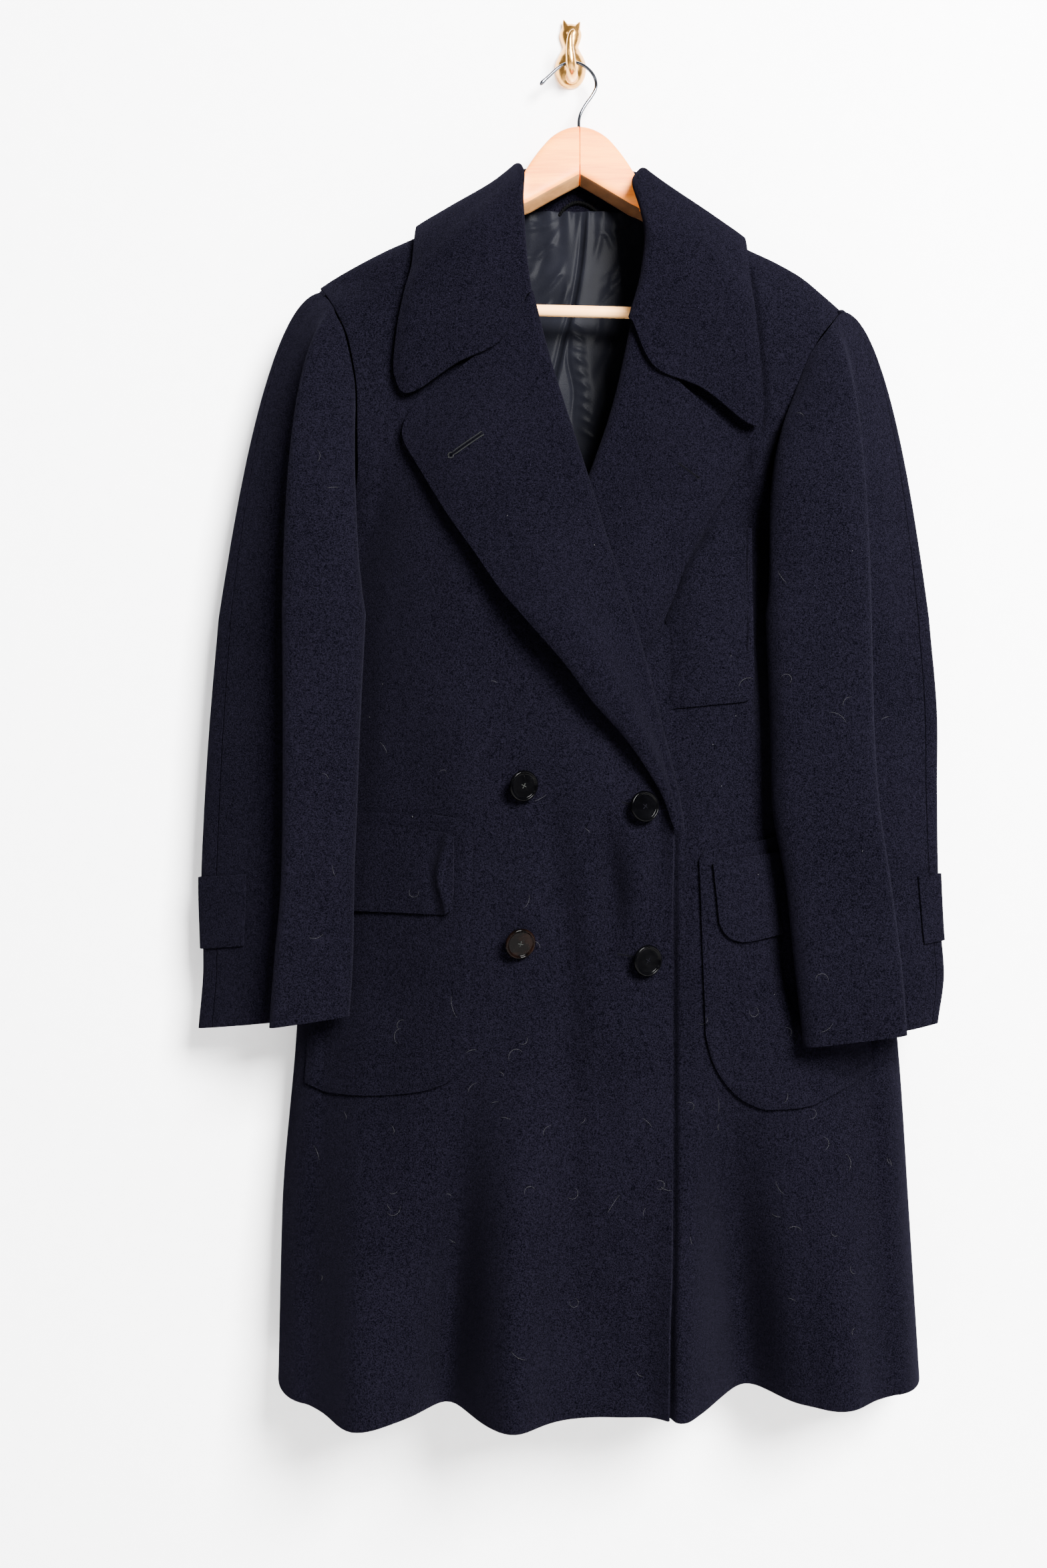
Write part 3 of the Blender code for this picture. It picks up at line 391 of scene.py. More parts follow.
# %% [markdown]
# The lining is a dark satin, smooth and a little shiny, so its creases catch light. A slow noise gives
# the faint marks of pressing and wear, and a fine one the slight unevenness of the weave.

# %% Satin, horn, wood and metals
def satin(name, color):
    """Dark satin, marked by pressing and by the weave."""
    material, nodes, link, shader, where = new_material(
        name, roughness=0.27, specular_ior_level=0.0052, anisotropic=0.3,
    )
    slow, fine = noise(nodes, link, where, 22.0, 3.0, 0.6), noise(nodes, link, where, 900.0, 2.0, 0.5)
    tone = maths(nodes, link, "MULTIPLY_ADD", fine, 0.25, maths(nodes, link, "MULTIPLY", slow, 0.75))
    tones = ramp(nodes, link, tone, [(0.35, color), (0.65, darker(color, 1.6))])
    link(tones, shader.inputs["Base Color"])
    raised(nodes, link, shader, tone, 0.25, 0.001)
    return material


def grain(name, pale, deep, slope, underside_shade):
    """Varnished wood whose fibres run along an arm of that slope, in degrees. Its underside is painted
    darker, as painted shade.
    """
    material, nodes, link, shader, where = new_material(name, roughness=0.45, specular_ior_level=0.3)
    turn = nodes.new("ShaderNodeMapping")
    turn.inputs["Rotation"].default_value = (0.0, math.radians(slope), 0.0)
    turn.inputs["Scale"].default_value = (6.0, 90.0, 110.0)
    link(where, turn.inputs["Vector"])
    bands = noise(nodes, link, turn.outputs["Vector"], 1.0, 3.0, 0.55)
    pores = noise(nodes, link, turn.outputs["Vector"], 7.0, 2.0, 0.6)
    tone = maths(nodes, link, "MULTIPLY_ADD", pores, 0.3, maths(nodes, link, "MULTIPLY", bands, 0.7))
    side = nodes.new("ShaderNodeAttribute")
    side.attribute_name = "underside"
    both = nodes.new("ShaderNodeMix")
    both.data_type = "RGBA"
    link(side.outputs["Fac"], both.inputs["Factor"])
    link(ramp(nodes, link, tone, [(0.36, deep), (0.62, pale)]), both.inputs["A"])
    # Marked faces take the darker colour: painted shade under the arms.
    link(ramp(nodes, link, tone, [(0.3, darker(underside_shade, 0.55)), (0.65, underside_shade)]), both.inputs["B"])
    link(both.outputs["Result"], shader.inputs["Base Color"])
    raised(nodes, link, shader, pores, 0.12, 0.0006)
    return material


def metal(name, color, roughness, marks):
    """Handled metal: smudges dull it and darken it a little."""
    material, nodes, link, shader, where = new_material(name, metallic=1.0)
    smudge = noise(nodes, link, where, 160.0, 4.0, 0.6)
    tones = ramp(nodes, link, smudge, [(0.3, darker(color, 0.78)), (0.6, color)])
    link(tones, shader.inputs["Base Color"])
    link(maths(nodes, link, "MULTIPLY_ADD", smudge, marks, roughness), shader.inputs["Roughness"])
    raised(nodes, link, shader, smudge, 0.06, 0.0004)
    return material


def horn(name, dark, brown):
    """Polished horn, with veins a shade browner."""
    material, nodes, link, shader, where = new_material(name, roughness=0.1, specular_ior_level=0.032)
    veins = noise(nodes, link, where, 60.0, 4.0, 0.65)
    link(ramp(nodes, link, veins, [(0.42, dark), (0.66, brown)]), shader.inputs["Base Color"])
    return material


def thread(name, color):
    """Spun thread, darker between its strands."""
    material, nodes, link, shader, where = new_material(name, roughness=0.8, specular_ior_level=0.02)
    twist = noise(nodes, link, where, 2600.0, 1.0, 0.5)
    tones = ramp(nodes, link, twist, [(0.35, darker(color, 0.6)), (0.65, color)])
    link(tones, shader.inputs["Base Color"])
    raised(nodes, link, shader, twist, 0.4, 0.0003)
    return material


SATIN = satin("dark satin", (0.0026, 0.0027, 0.0038))
# The last colour of each wood is painted shade for its faces that look down; the right arm's is darker still.
WOOD_LEFT = grain(
    "pale wood, falling to the left", (0.87, 0.285, 0.024), (0.70, 0.155, 0.008), -34.0, (0.28, 0.13, 0.045)
)
WOOD_RIGHT = grain(
    "pale wood, falling to the right", (0.87, 0.27, 0.021), (0.68, 0.138, 0.008), 34.0, (0.10, 0.042, 0.016)
)
WOOD_BAR = grain("pale wood of the bar", (0.95, 0.52, 0.21), (0.88, 0.41, 0.12), 1.5, (0.5, 0.25, 0.1))
BRASS = metal("warm brass", (0.62, 0.31, 0.075), 0.14, 0.2)
# STEEL's colour is far darker than steel's own: painted shade, standing in for the dark surroundings the wire
# reflects.
STEEL = metal("bright steel", (0.11, 0.115, 0.13), 0.05, 0.14)
HORN = horn("black horn", (0.0003, 0.0003, 0.0004), (0.0008, 0.0008, 0.0010))
HORN_BROWN = horn("brown horn", (0.0006, 0.0004, 0.0004), (0.0040, 0.0017, 0.0011))
THREAD = thread("grey-green thread", (0.0150, 0.0160, 0.0150))
THREAD_DARK = thread("navy thread", (0.0020, 0.0019, 0.0030))
BRAID = thread("black braid", (0.0009, 0.0009, 0.0010))
print("finishes:", ", ".join(m.name for m in bpy.data.materials if m.name[0].islower())[:200])

# %% [markdown]
# ## The shape of the body
#
# One table carries the body: how wide it is at each height, where its side seams lie, and how far it
# stands from the wall at eight places across. The back shares it up to the underarm. Above the shoulder
# line the cloth rolls over the hanger. The hem is not even: the coat falls in deep pipes between its
# button stand and its side seams.

# %% Tables of the body
OUT_LEFT = [
    (-250, -241), (-226, -222), (-202, -207), (-169, -190), (-140, -177), (-114, -163), (-84, -146),
]
OUT_RIGHT = [(118, -164.5), (150, -185), (182, -200), (205, -213), (228, -232), (262, -262)]
SHOULDER = table("x z", [*OUT_LEFT, (-62, -130), (7, -120), (78, -137.5), *OUT_RIGHT])
BACK_NECK = [
    (-67, -134, -46), (-56, -139, -20), (-34, -145, -8.5), (7, -146.5, -7), (48, -146.5, -8.5),
    (66, -142, -18), (74, -138.5, -33), (80, -139.5, -46),
]
BACK_LEFT, BACK_RIGHT = ([(*place, RIDGE_Y) for place in out] for out in (OUT_LEFT, OUT_RIGHT))
BACK_TOP = table("x z y", BACK_LEFT + BACK_NECK + BACK_RIGHT)

BODY = table(
    "z left right seam_l seam_r y1 y2 y3 y4 y5 y6 y7 y8",
    [
        (-1215, -266, 314, -25, -25, -114, -146, -140, -140, -122, -122, -120, -102),
        (-1050, -263, 305, -25, -25, -86, -120, -126, -132, -116, -112, -106, -84),
        (-900, -251, 296, -25, -25, -74, -100, -116, -124, -110, -104, -92, -64),
        (-800, -245, 280, -25, -25, -70, -95, -112, -120, -106, -93, -76, -56),
        (-680, -236, 262, -25, -25, -67, -92, -108, -114, -102, -88, -58, -46),
        (-560, -225, 242, -25, -25, -64, -90, -104, -109, -100, -93, -56, -42),
        (-470, -216, 226, -25, -25, -62, -86, -100, -105, -97, -92, -70, -40),
        (-430, -198, 192, -60, -44, -72, -86, -98, -103, -95, -91, -80, -62),
        (-385, -190, 176, -80, -62, -82, -86, -94, -98, -94, -92, -89, -82),
        (-330, -190, 192, -85, -88, -86, -87, -92, -94, -92, -90, -89, -88),
        (-281, -197, 213, -84, -84, -85, -86, -88, -90, -90, -88, -87, -86),
        (-246, -212, 238, -76, -66, -80, -82, -84, -86, -86, -85, -82, -76),
        (-220, -228, 250, -60, -52, -66, -76, -80, -82, -82, -80, -76, -68),
    ],
)
ACROSS = np.array([0.06, 0.14, 0.30, 0.50, 0.70, 0.80, 0.86, 0.94])

FRONT_FOLDS = table(
    "x_top z_top x_low z_low half depth fade",
    [
        (-90, -870, -108, -1180, 22, 40, 0),
        (-176, -930, -178, -1200, 32, -30, 0),
        (-50, -860, -52, -1200, 30, -38, 0),
        (126, -880, 153, -1190, 27, 50, 0),
        (226, -930, 228, -1200, 40, -14, 0),
        (92, -900, 88, -1200, 18, -24, 0),
        (82, -400, 84, -520, 17, 8, 200),
        (-34, -610, -10, -800, 15, 6, 500),
    ],
)

BACK_FOLDS = table(
    "x_top z_top x_low z_low half depth fade",
    [
        (-120, -640, -128, -1200, 34, -13, 0),
        (40, -700, 52, -1200, 30, -10, 0),
        (176, -600, 190, -1200, 36, -14, 0),
    ],
)

ABOVE_ARMS = table(
    "z left right seam_l seam_r",
    [
        (-420, -203, 205, -14, -14), (-370, -197, 200, -11, -11), (-300, -201, 216, -12, -12),
        (-255, -212, 236, -24, -24), (-220, -228, 250, -44, -44),
    ],
)
BACK = {name: np.concatenate([BODY[name][:7], above]) for name, above in ABOVE_ARMS.items()}

EDGE_OVER = table(
    "z x",
    [
        (-1215, 76), (-1130, 77.5), (-1074, 80), (-964, 82), (-853, 82.5), (-752, 83),
        (-694, 84), (-672, 80), (-649, 75), (-618, 67), (-571, 54), (-540, 45),
        (-503, 34), (-459, 19), (-415, 6), (-356, -12), (-285, -33), (-250, -43),
        (-206, -50), (-160, -58), (-130, -62),
    ],
)

EDGE_UNDER = table(
    "z x",
    [
        (-1215, -72), (-700, -72), (-640, -68), (-580, -50), (-520, -28), (-460, -4),
        (-408, 17), (-351, 37), (-322, 45), (-259, 58), (-223, 66), (-196, 71),
        (-160, 75), (-137.5, 78),
    ],
)

# %% Depth of the body at any place
def shoulder(x):
    """The level of the shoulder line."""
    return smooth(x, SHOULDER["x"], SHOULDER["z"])


def folds(x, z, rows):
    """How far the folds of one side push the cloth along Y."""
    total = np.zeros_like(x)
    for x_top, z_top, x_low, z_low, half, depth, fade in zip(*rows.values()):
        down = (z_top - z) / (z_top - z_low)
        middle = x_top + (x_low - x_top) * np.clip(down, 0.0, 1.2)
        strength = ease(down)
        if fade:
            strength = strength * (1 - ease((z_low - z) / fade))
        total = total + depth * strength * bell(x - middle, half)
    return total


def back_top(x):
    """The level of the back's top: the shoulder line, and the seam with the collar between."""
    return smooth(x, BACK_TOP["x"], BACK_TOP["z"])


def turned_back(flat, rim, inwards, reach):
    """A depth that turns round to the rim of the panel, in a quarter circle over that reach."""
    turn = np.clip(inwards / reach, 0.0, 1.0)
    return rim + (flat - rim) * np.sqrt(1 - (1 - turn) ** 2)


CREASES = table(
    "x_top z_top x_low z_low half depth fade",
    [
        (-33, -600, -12, -760, 13, 3.2, 260),
        (26, -680, 31, -752, 10, 14.0, 85),
        (57, -692, 56, -750, 12, -5.5, 55),
        (82, -650, 84, -715, 7, -5.5, 150),
        (71, -664, 72, -712, 5, 5.0, 70),
        (168, -680, 182, -830, 9, 9.0, 50),
        (-24, -700, -30, -1180, 13, 2.2, 0),
        (-200, -960, -212, -1200, 12, 3.0, 0),
        (24, -520, 38, -640, 10, 2.4, 60),
        (30, -860, 24, -940, 14, 4.0, 80),
        (-140, -560, -128, -700, 22, 3.0, 200),
        (-196, -480, -188, -640, 14, 2.5, 160),
        (-150, -380, -140, -500, 16, -2.2, 160),
        (150, -620, 160, -760, 16, 2.4, 160),
        (200, -600, 212, -800, 14, -2.6, 200),
        (-8, -840, -2, -1000, 16, 2.6, 220),
        (30, -900, 22, -1200, 18, 3.0, 0),
        (-140, -860, -146, -1010, 14, -2.4, 160),
        (104, -960, 112, -1200, 10, -3.0, 0),
        (194, -980, 204, -1200, 14, 5.0, 0),
        (250, -1000, 258, -1200, 14, 4.0, 0),
    ],
)


def unevenness(x, z):
    """Wool is never quite flat: long shallow waves, less than a millimetre high."""
    return (
        0.45 * np.sin(x / 23.0 + 0.9 * np.sin(z / 71.0) + 1.3)
        + 0.35 * np.sin(z / 31.0 + 1.1 * np.sin(x / 47.0))
        + 0.25 * np.sin((x + 0.6 * z) / 17.0 + 2.1)
    )


def front_y(x, z):
    """Y of the front's outer face."""
    left, right, seam_l, seam_r, *depths = read_off(
        BODY, "z", z, "left right seam_l seam_r y1 y2 y3 y4 y5 y6 y7 y8"
    )
    part = (x - left) / (right - left)
    flat = smooth(part.ravel(), ACROSS, np.array([depth.ravel() for depth in depths])).reshape(x.shape)
    relief = folds(x, z, FRONT_FOLDS) + folds(x, z, CREASES)
    flat = flat + relief * ease((part - 0.02) / 0.1) * ease((0.98 - part) / 0.1)
    flat = flat + unevenness(x, z)
    flat = turned_back(flat, seam_l, part, WRAP)
    flat = turned_back(flat, seam_r, 1 - part, WRAP)
    return turned_back(flat, RIDGE_Y, shoulder(x) - z, RIDGE_DROP)


def over_y(x, z):
    """The front that laps over lies in front of the other from the chest down."""
    down = ease((-290 - z) / 100.0)
    return front_y(x, z) - OVERLAP * down * ease((x + 180) / 90.0)


def back_y(x, z):
    """Y of the back's outer face, which lies to the wall."""
    left, right, seam_l, seam_r = read_off(BACK, "z", z, "left right seam_l seam_r")
    part = (x - left) / (right - left)
    flat = turned_back(WALL_SIDE + folds(x, z, BACK_FOLDS), seam_l, part, WRAP)
    flat = turned_back(flat, seam_r, 1 - part, WRAP)
    return turned_back(flat, smooth(x, BACK_TOP["x"], BACK_TOP["y"]), back_top(x) - z, RIDGE_DROP)


def hem(x):
    """The hem's level, which dips where the coat falls in pipes."""
    return HEM - 5.0 * bell(x + 195, 45) - 3.0 * bell(x - 225, 35)


def row_z(x, v, split, top, low):
    """Rows change from the shoulder line to level lines at the underarm, then run down to the hem."""
    down = np.clip(v / split, 0.0, 1.0) ** 2
    upper = (1 - down) * top(x) + down * UNDERARM
    lower = UNDERARM + (low(x) - UNDERARM) * np.clip((v - split) / (1 - split), 0.0, 1.0)
    return np.where(v <= split, upper, lower)


def edge_x(v, split, top, low, edge):
    """Where a row meets an edge that is given as levels and the x at each."""
    x = np.full_like(v, float(np.mean(edge[1])))
    for _ in range(40):
        x = 0.5 * x + 0.5 * smooth(row_z(x, v, split, top, low), *edge)
    return x


def panel(side, seam_edge, inner_edge, depth, top, low, gap_y):
    """One panel of the body, from its side seam (u = 0) to its inner edge (u = 1)."""
    wrap_u, split = 0.22, 0.34  # shares of the cut that turn to the side seam and lie above the underarm

    def surface(u, v):
        outer = edge_x(v, split, top, low, seam_edge)
        inner = edge_x(v, split, top, low, inner_edge)
        left, right = read_off(BODY, "z", row_z(outer, v, split, top, low), "left right")
        start = outer + side * WRAP * (right - left)
        angle = np.clip(u / wrap_u, 0.0, 1.0) * math.pi / 2
        x_wrap = outer + (start - outer) * (1 - np.cos(angle))
        x_flat = start + (inner - start) * np.clip((u - wrap_u) / (1 - wrap_u), 0.0, 1.0)
        x = np.where(u <= wrap_u, x_wrap, x_flat)
        z = row_z(x, v, split, top, low)
        y = depth(x, z) + gap_y * (1 - ease(u / 0.1)) + gap_y * (1 - ease(v / 0.05))
        return np.stack([x, y, z], axis=-1)

    return surface

# %% [markdown]
# ## The fronts
#
# Each front runs from the side seam, round the side of the body, to its front edge. The wearer's right
# front laps over the left one and carries the buttonholes. Both are lined.

# %% Fronts
LAPEL_RIM = table(
    "z x", [(-596, 18), (-560, 50), (-531, 72), (-509, 83), (-478, 94), (-443, 112), (-408, 134), (-379, 150)]
)
LEAF_RIM = table("z x", [(-364, 160), (-333, 163), (-293, 160), (-252, 156), (-219, 152)])


def under_hem(x):
    """The hem of the front that lies under has one more pipe."""
    return hem(x) - 7.0 * bell(x - 92, 26) + 1.0


def beside_edges(x, z):
    """Narrow valleys where the lapel's and the collar's edges press on the chest."""
    lapel_x = smooth(z, LAPEL_RIM["z"], LAPEL_RIM["x"])
    high = ease((z + 490) / 50.0)
    valley = (6.0 + 3.0 * high) * bell(x - lapel_x - 3.6 - 1.4 * high, 3.6 + 2.4 * high)
    valley = valley * ease((z + 612) / 40.0) * ease((-366 - z) / 20.0)
    leaf_x = smooth(z, LEAF_RIM["z"], LEAF_RIM["x"])
    groove = 5.0 * bell(x - leaf_x - 3.2, 3.2)
    return valley + groove * ease((z + 372) / 20.0) * ease((-200 - z) / 30.0)


def under_y(x, z):
    """The front that lies under sinks in beside the other one's edge, which throws its shadow there."""
    edge = smooth(z, EDGE_OVER["z"], EDGE_OVER["x"])
    sink = 9.0 * bell(x - edge - 3.0, 3.2) + 3.0 * bell(x - edge - 10.0, 8.0)
    return front_y(x, z) + sink * ease((-650 - z) / 50.0) + beside_edges(x, z)


LEFT_SEAM, RIGHT_SEAM = (BODY["z"], BODY["left"]), (BODY["z"], BODY["right"])
hang(
    "front_over", panel(1, LEFT_SEAM, tuple(EDGE_OVER.values()), over_y, shoulder, hem, -SEAM),
    (84, 230), True, WOOL, inside=SATIN,
)
hang(
    "front_under", panel(-1, RIGHT_SEAM, tuple(EDGE_UNDER.values()), under_y, shoulder, under_hem, -SEAM),
    (138, 174), False, WOOL, us=((0, 0.42, 0.76, 1), (0, 0.55, 0.71, 1)), inside=SATIN,
)

# %% [markdown]
# ## Rods and bars
#
# Wood, wire, cord and thread are long and round, or nearly so. A flat grid makes them too: it is
# carried onto rings of points, joined along its side, and its two ends are closed.

# %% Lofts and rods
def loft(name, rings, material=None, node=None, sharp=40):
    """One closed skin through rings of points."""
    rings = np.asarray(rings, float)
    rows, around = rings.shape[:2]
    shape = bmesh.new()
    bmesh.ops.create_grid(shape, x_segments=around, y_segments=rows - 1, size=0.5)
    for corner in shape.verts:
        column = round((corner.co.x + 0.5) * around) % around
        row = round((0.5 - corner.co.y) * (rows - 1))
        corner.co = rings[row, column] * MM
    bmesh.ops.remove_doubles(shape, verts=shape.verts[:], dist=2e-6)
    rim = [edge for edge in shape.edges if edge.is_boundary]
    bmesh.ops.holes_fill(shape, edges=rim, sides=0)
    bmesh.ops.recalc_face_normals(shape, faces=shape.faces[:])
    obj = put_shape(name, shape)
    obj.data.shade_smooth()
    obj.data.set_sharp_from_angle(angle=math.radians(sharp))
    if material:
        dress(obj, material, node)
    return obj


def tube(path, radii, around):
    """Rings of a round rod along a path of points."""
    path = np.asarray(path, float)
    radii = np.broadcast_to(np.asarray(radii, float), (len(path),))
    along = unit(np.gradient(path, axis=0))
    side = np.array([0.0, 1.0, 0.0])
    rings = []
    for point, ahead, radius in zip(path, along, radii):
        side = unit(side - ahead * np.dot(side, ahead))
        other = np.cross(ahead, side)
        turn = np.arange(around) * 2 * math.pi / around
        rings.append(point + radius * (np.cos(turn)[:, None] * side + np.sin(turn)[:, None] * other))
    return rings


def distances(path):
    """How far along a path each of its points lies."""
    return np.concatenate([[0], np.cumsum(np.linalg.norm(np.diff(path, axis=0), axis=1))])


def finer(path, steps):
    """A smooth path through a few places, with evenly spaced points."""
    path = np.asarray(path, float)
    along = distances(path)
    at = np.linspace(0, along[-1], steps)
    padded = np.concatenate([[2 * path[0] - path[1]], path, [2 * path[-1] - path[-2]]])
    i = np.clip(np.searchsorted(along, at, side="right") - 1, 0, len(path) - 2)
    t = ((at - along[i]) / (along[i + 1] - along[i]))[:, None]
    p0, p1, p2, p3 = padded[i], padded[i + 1], padded[i + 2], padded[i + 3]
    return 0.5 * (
        2 * p1 + (p2 - p0) * t + (2 * p0 - 5 * p1 + 4 * p2 - p3) * t**2 + (3 * p1 - p0 - 3 * p2 + p3) * t**3
    )

# %% [markdown]
# ## The backs
#
# Two backs meet in a seam down the middle. They lie near the wall, almost flat, with a few soft folds
# that fall from below the shoulder blades, and roll over the hanger at the shoulder.

# %% Backs
def back_panel(side, edge):
    """Half of the back, from its side seam to the seam in the middle."""
    middle = (np.array([-1215.0, -144.0]), np.full(2, MIDDLE - side * SEAM))
    return panel(side, (BACK["z"], BACK[edge]), middle, back_y, back_top, hem, SEAM)


hang("back_right", back_panel(1, "left"), (52, 164), False, WOOL, inside=SATIN)
hang("back_left", back_panel(-1, "right"), (56, 164), True, WOOL, inside=SATIN)

# %% [markdown]
# ## The sleeves
#
# A tailored sleeve has a top piece and an under piece. On the hanger it hangs nearly flat: the front
# forms one broad face that ends in a sharp crease, and behind the crease the cloth falls back into a
# deep hollow before it comes forward again to the back seam. Twelve places go round each level, and
# the smooth skin between them is the sleeve. The cap has its own places: the armhole's seam, and a
# second ring that the cloth swings out to before it falls. The sides named here are the wearer's.

# %% Places round a sleeve
RING = 12
CUFF_RISE = 0.135  # both cuffs rise towards the same side
CAP_LOW = -520.0  # the cap ends at this level
CAP_SHARE = 0.46  # and takes this share of the cut's length
UNDER_SEAM_AIR = 12.0  # how far the place beside the under seam lies behind the seam

AROUND = table(  # places 0, 10 and 11 are beside the under seam, and take their depth from "low"
    "along depth",
    [
        (0.00, 0), (0.12, 0.10), (0.50, 0.03), (0.90, 0.00), (1.00, 0.10), (0.99, 0.38),
        (1.40, 0.50), (2.00, 0.74), (1.80, 0.95), (1.00, 1.00), (0.60, 0), (0.15, 0),
    ],
)

CAP_PLACES = {}
CAP_PLACES["right"] = table(
    "ax ay az bx by bz",
    [
        (-214.5, -36, -461, -190, -84, -480),
        (-195.0, -81, -386, -186, -103, -420),
        (-191.5, -88, -322, -197, -106, -340),
        (-200.5, -88, -274, -226, -108, -294),
        (-208.5, -82, -256, -249, -113, -276),
        (-213.0, -76, -246, -249, -86, -262),
        (-218.4, -64, -236, -264, -68, -246),
        (-226.8, -48, -227, -276, -50, -234),
        (-216.4, -24, -254, -262, -24, -276),
        (-205.4, -12, -301, -243, -8, -341),
        (-202.5, -11, -371, -234, -10, -431),
        (-208.0, -14, -421, -238, -38, -466),
    ],
)

CAP_PLACES["left"] = table(
    "ax ay az bx by bz",
    [
        (222.5, -38, -461, 176, -86, -482),
        (186.0, -70, -392, 158, -106, -420),
        (187.0, -87, -345, 165, -118, -366),
        (206.0, -88, -294, 218, -120, -318),
        (222.0, -84, -270, 250, -114, -294),
        (230.2, -76, -260, 254, -86, -274),
        (237.3, -64, -250, 272, -68, -260),
        (244.5, -48, -244, 286, -50, -254),
        (240.0, -24, -256, 280, -24, -284),
        (221.5, -12, -301, 254, -8, -350),
        (206.0, -11, -371, 244, -12, -436),
        (212.5, -15, -421, 244, -40, -468),
    ],
)

ARM_LEVELS = {}
ARM_LEVELS["right"] = table(
    "z inner crease outer front low back",
    [
        (-886, -194, -262, -334, -131, -94, -32),
        (-830, -191, -258, -330, -131, -91, -30),
        (-757, -190, -252, -332, -130, -88, -28),
        (-700, -188, -251, -330, -128, -86, -28),
        (-630, -186, -251, -326, -126, -80, -28),
        (-520, -181, -252, -317, -124, -76, -28),
    ],
)

ARM_LEVELS["left"] = table(
    "z inner crease outer front low back",
    [
        (-892, 195, 281, 316, -144, -108, -84),
        (-847, 190, 278, 322, -143, -106, -80),
        (-806, 186, 274, 320, -141, -102, -75),
        (-755, 181, 268, 319, -138, -98, -69),
        (-680, 170, 259, 320, -133, -88, -60),
        (-614, 169, 256, 322, -130, -80, -50),
        (-520, 166, 255, 318, -126, -76, -34),
    ],
)

# %% A sleeve through its places
def ring_points(z, arm):
    """The twelve places round one level of a sleeve."""
    inner, crease, outer, front, low, back = read_off(arm, "z", z, "inner crease outer front low back")
    depths = [front + (back - front) * share for share in AROUND["depth"]]
    depths[0], depths[10], depths[11] = 0.5 * (low + front), low + UNDER_SEAM_AIR, low
    rise = CUFF_RISE * np.clip((CAP_LOW - z) / 370, 0.0, 1.0)
    points = []
    for along, y in zip(AROUND["along"], depths):
        if along <= 1.0:
            x = inner + (crease - inner) * along
        else:
            x = crease + (outer - crease) * (along - 1.0)
        points.append(np.stack([x, y, z + rise * (x - np.minimum(inner, outer))], axis=-1))
    return points


def sleeve_places(v, side):
    """The twelve places of the ring at v, from the armhole (v = 0) to the cuff (v = 1)."""
    cap, arm = CAP_PLACES[side], ARM_LEVELS[side]
    level = CAP_LOW + (arm["z"][0] - CAP_LOW) * np.clip((v - CAP_SHARE) / (1 - CAP_SHARE), 0.0, 1.0)
    below = ring_points(level, arm)
    first = ring_points(np.full_like(v, CAP_LOW), arm)
    t = np.clip(v / CAP_SHARE, 0.0, 1.0)[..., None]
    found = []
    for i in range(RING):
        a, b = (np.array([cap[ring + axis][i] for axis in "xyz"]) for ring in "ab")
        upper = (1 - t) ** 2 * a + 2 * t * (1 - t) * b + t**2 * first[i]
        found.append(np.where(v[..., None] <= CAP_SHARE, upper, below[i]))
    return found


def sleeve(side, begin, until):
    """A sleeve's panel: u goes round from place `begin` to place `until`."""

    def surface(u, v):
        places = np.array(sleeve_places(v, side))
        at = (begin + (until - begin) * u) % RING
        i = np.floor(at).astype(int) % RING
        rows, columns = np.indices(u.shape)
        p0, p1, p2, p3 = (places[(i + k) % RING, rows, columns] for k in (-1, 0, 1, 2))
        return cubic((at - np.floor(at))[..., None], p1, 0.42 * (p2 - p0), p2, 0.42 * (p3 - p1))

    return surface

# %% Sleeves
SEAM_BACK, SEAM_FRONT, TINY = 6.62, 11.6, 0.012  # places of the seams, and half the gap at each


def sleeve_top(side):
    """The top piece goes over the front and the shoulder, from the under seam to the back seam."""
    return sleeve(side, SEAM_FRONT - RING + TINY, SEAM_BACK - TINY)


for side in ("right", "left"):
    hang(f"sleeve_top_{side}", sleeve_top(side), (80, 154), side == "left", WOOL, inside=SATIN)
    under_piece = sleeve(side, SEAM_BACK + TINY, SEAM_FRONT - TINY)
    hang(f"sleeve_under_{side}", under_piece, (40, 150), side == "left", WOOL, inside=SATIN)

# %% [markdown]
# ### The armhole seams
#
# Inside each armhole the edges of body and sleeve are sewn together, and their turnings are pressed into
# the sleeve's head, which keeps it round. They are two soft rolls here, one under the head and one
# behind it, and they close the armhole to the eye.

# %% Armhole seams
SEAM_ROW = 0.006  # share of the sleeve's length at which the turnings lie


def armhole_seam(side):
    """Two rolls along the armhole, pushed in from the sleeve's skin; the back one is nearer the body."""
    mirrored = side == "left"
    u = np.linspace(0.0, 1.0, 110)[None]
    v = np.full_like(u, SEAM_ROW)
    top = sleeve_top(side)
    front = (top(u, v) - 2.5 * normals_of(top, u, v, mirrored))[0]
    under = sleeve(side, SEAM_BACK - 0.3, SEAM_FRONT - 0.3)
    toward_body = np.array([-3.0 if mirrored else 3.0, 0.0, 0.0])
    back = (under(u, v) - 1.6 * normals_of(under, u, v, mirrored))[0] + toward_body
    return [
        loft(f"armhole_seam_{side}_front", tube(front, 2.1, 10), WOOL),
        loft(f"armhole_seam_{side}_back", tube(back, 3.6, 12), WOOL),
    ]


seams = armhole_seam("right") + armhole_seam("left")
print("armhole seams:", [len(seam.data.polygons) for seam in seams])

# %% [markdown]
# ### The cuff tabs
#
# A short tab is sewn to each sleeve above the cuff and lies round its outer edge, over the back seam. It
# follows the sleeve's own skin, moved out by its thickness, and its free end has rounded corners.

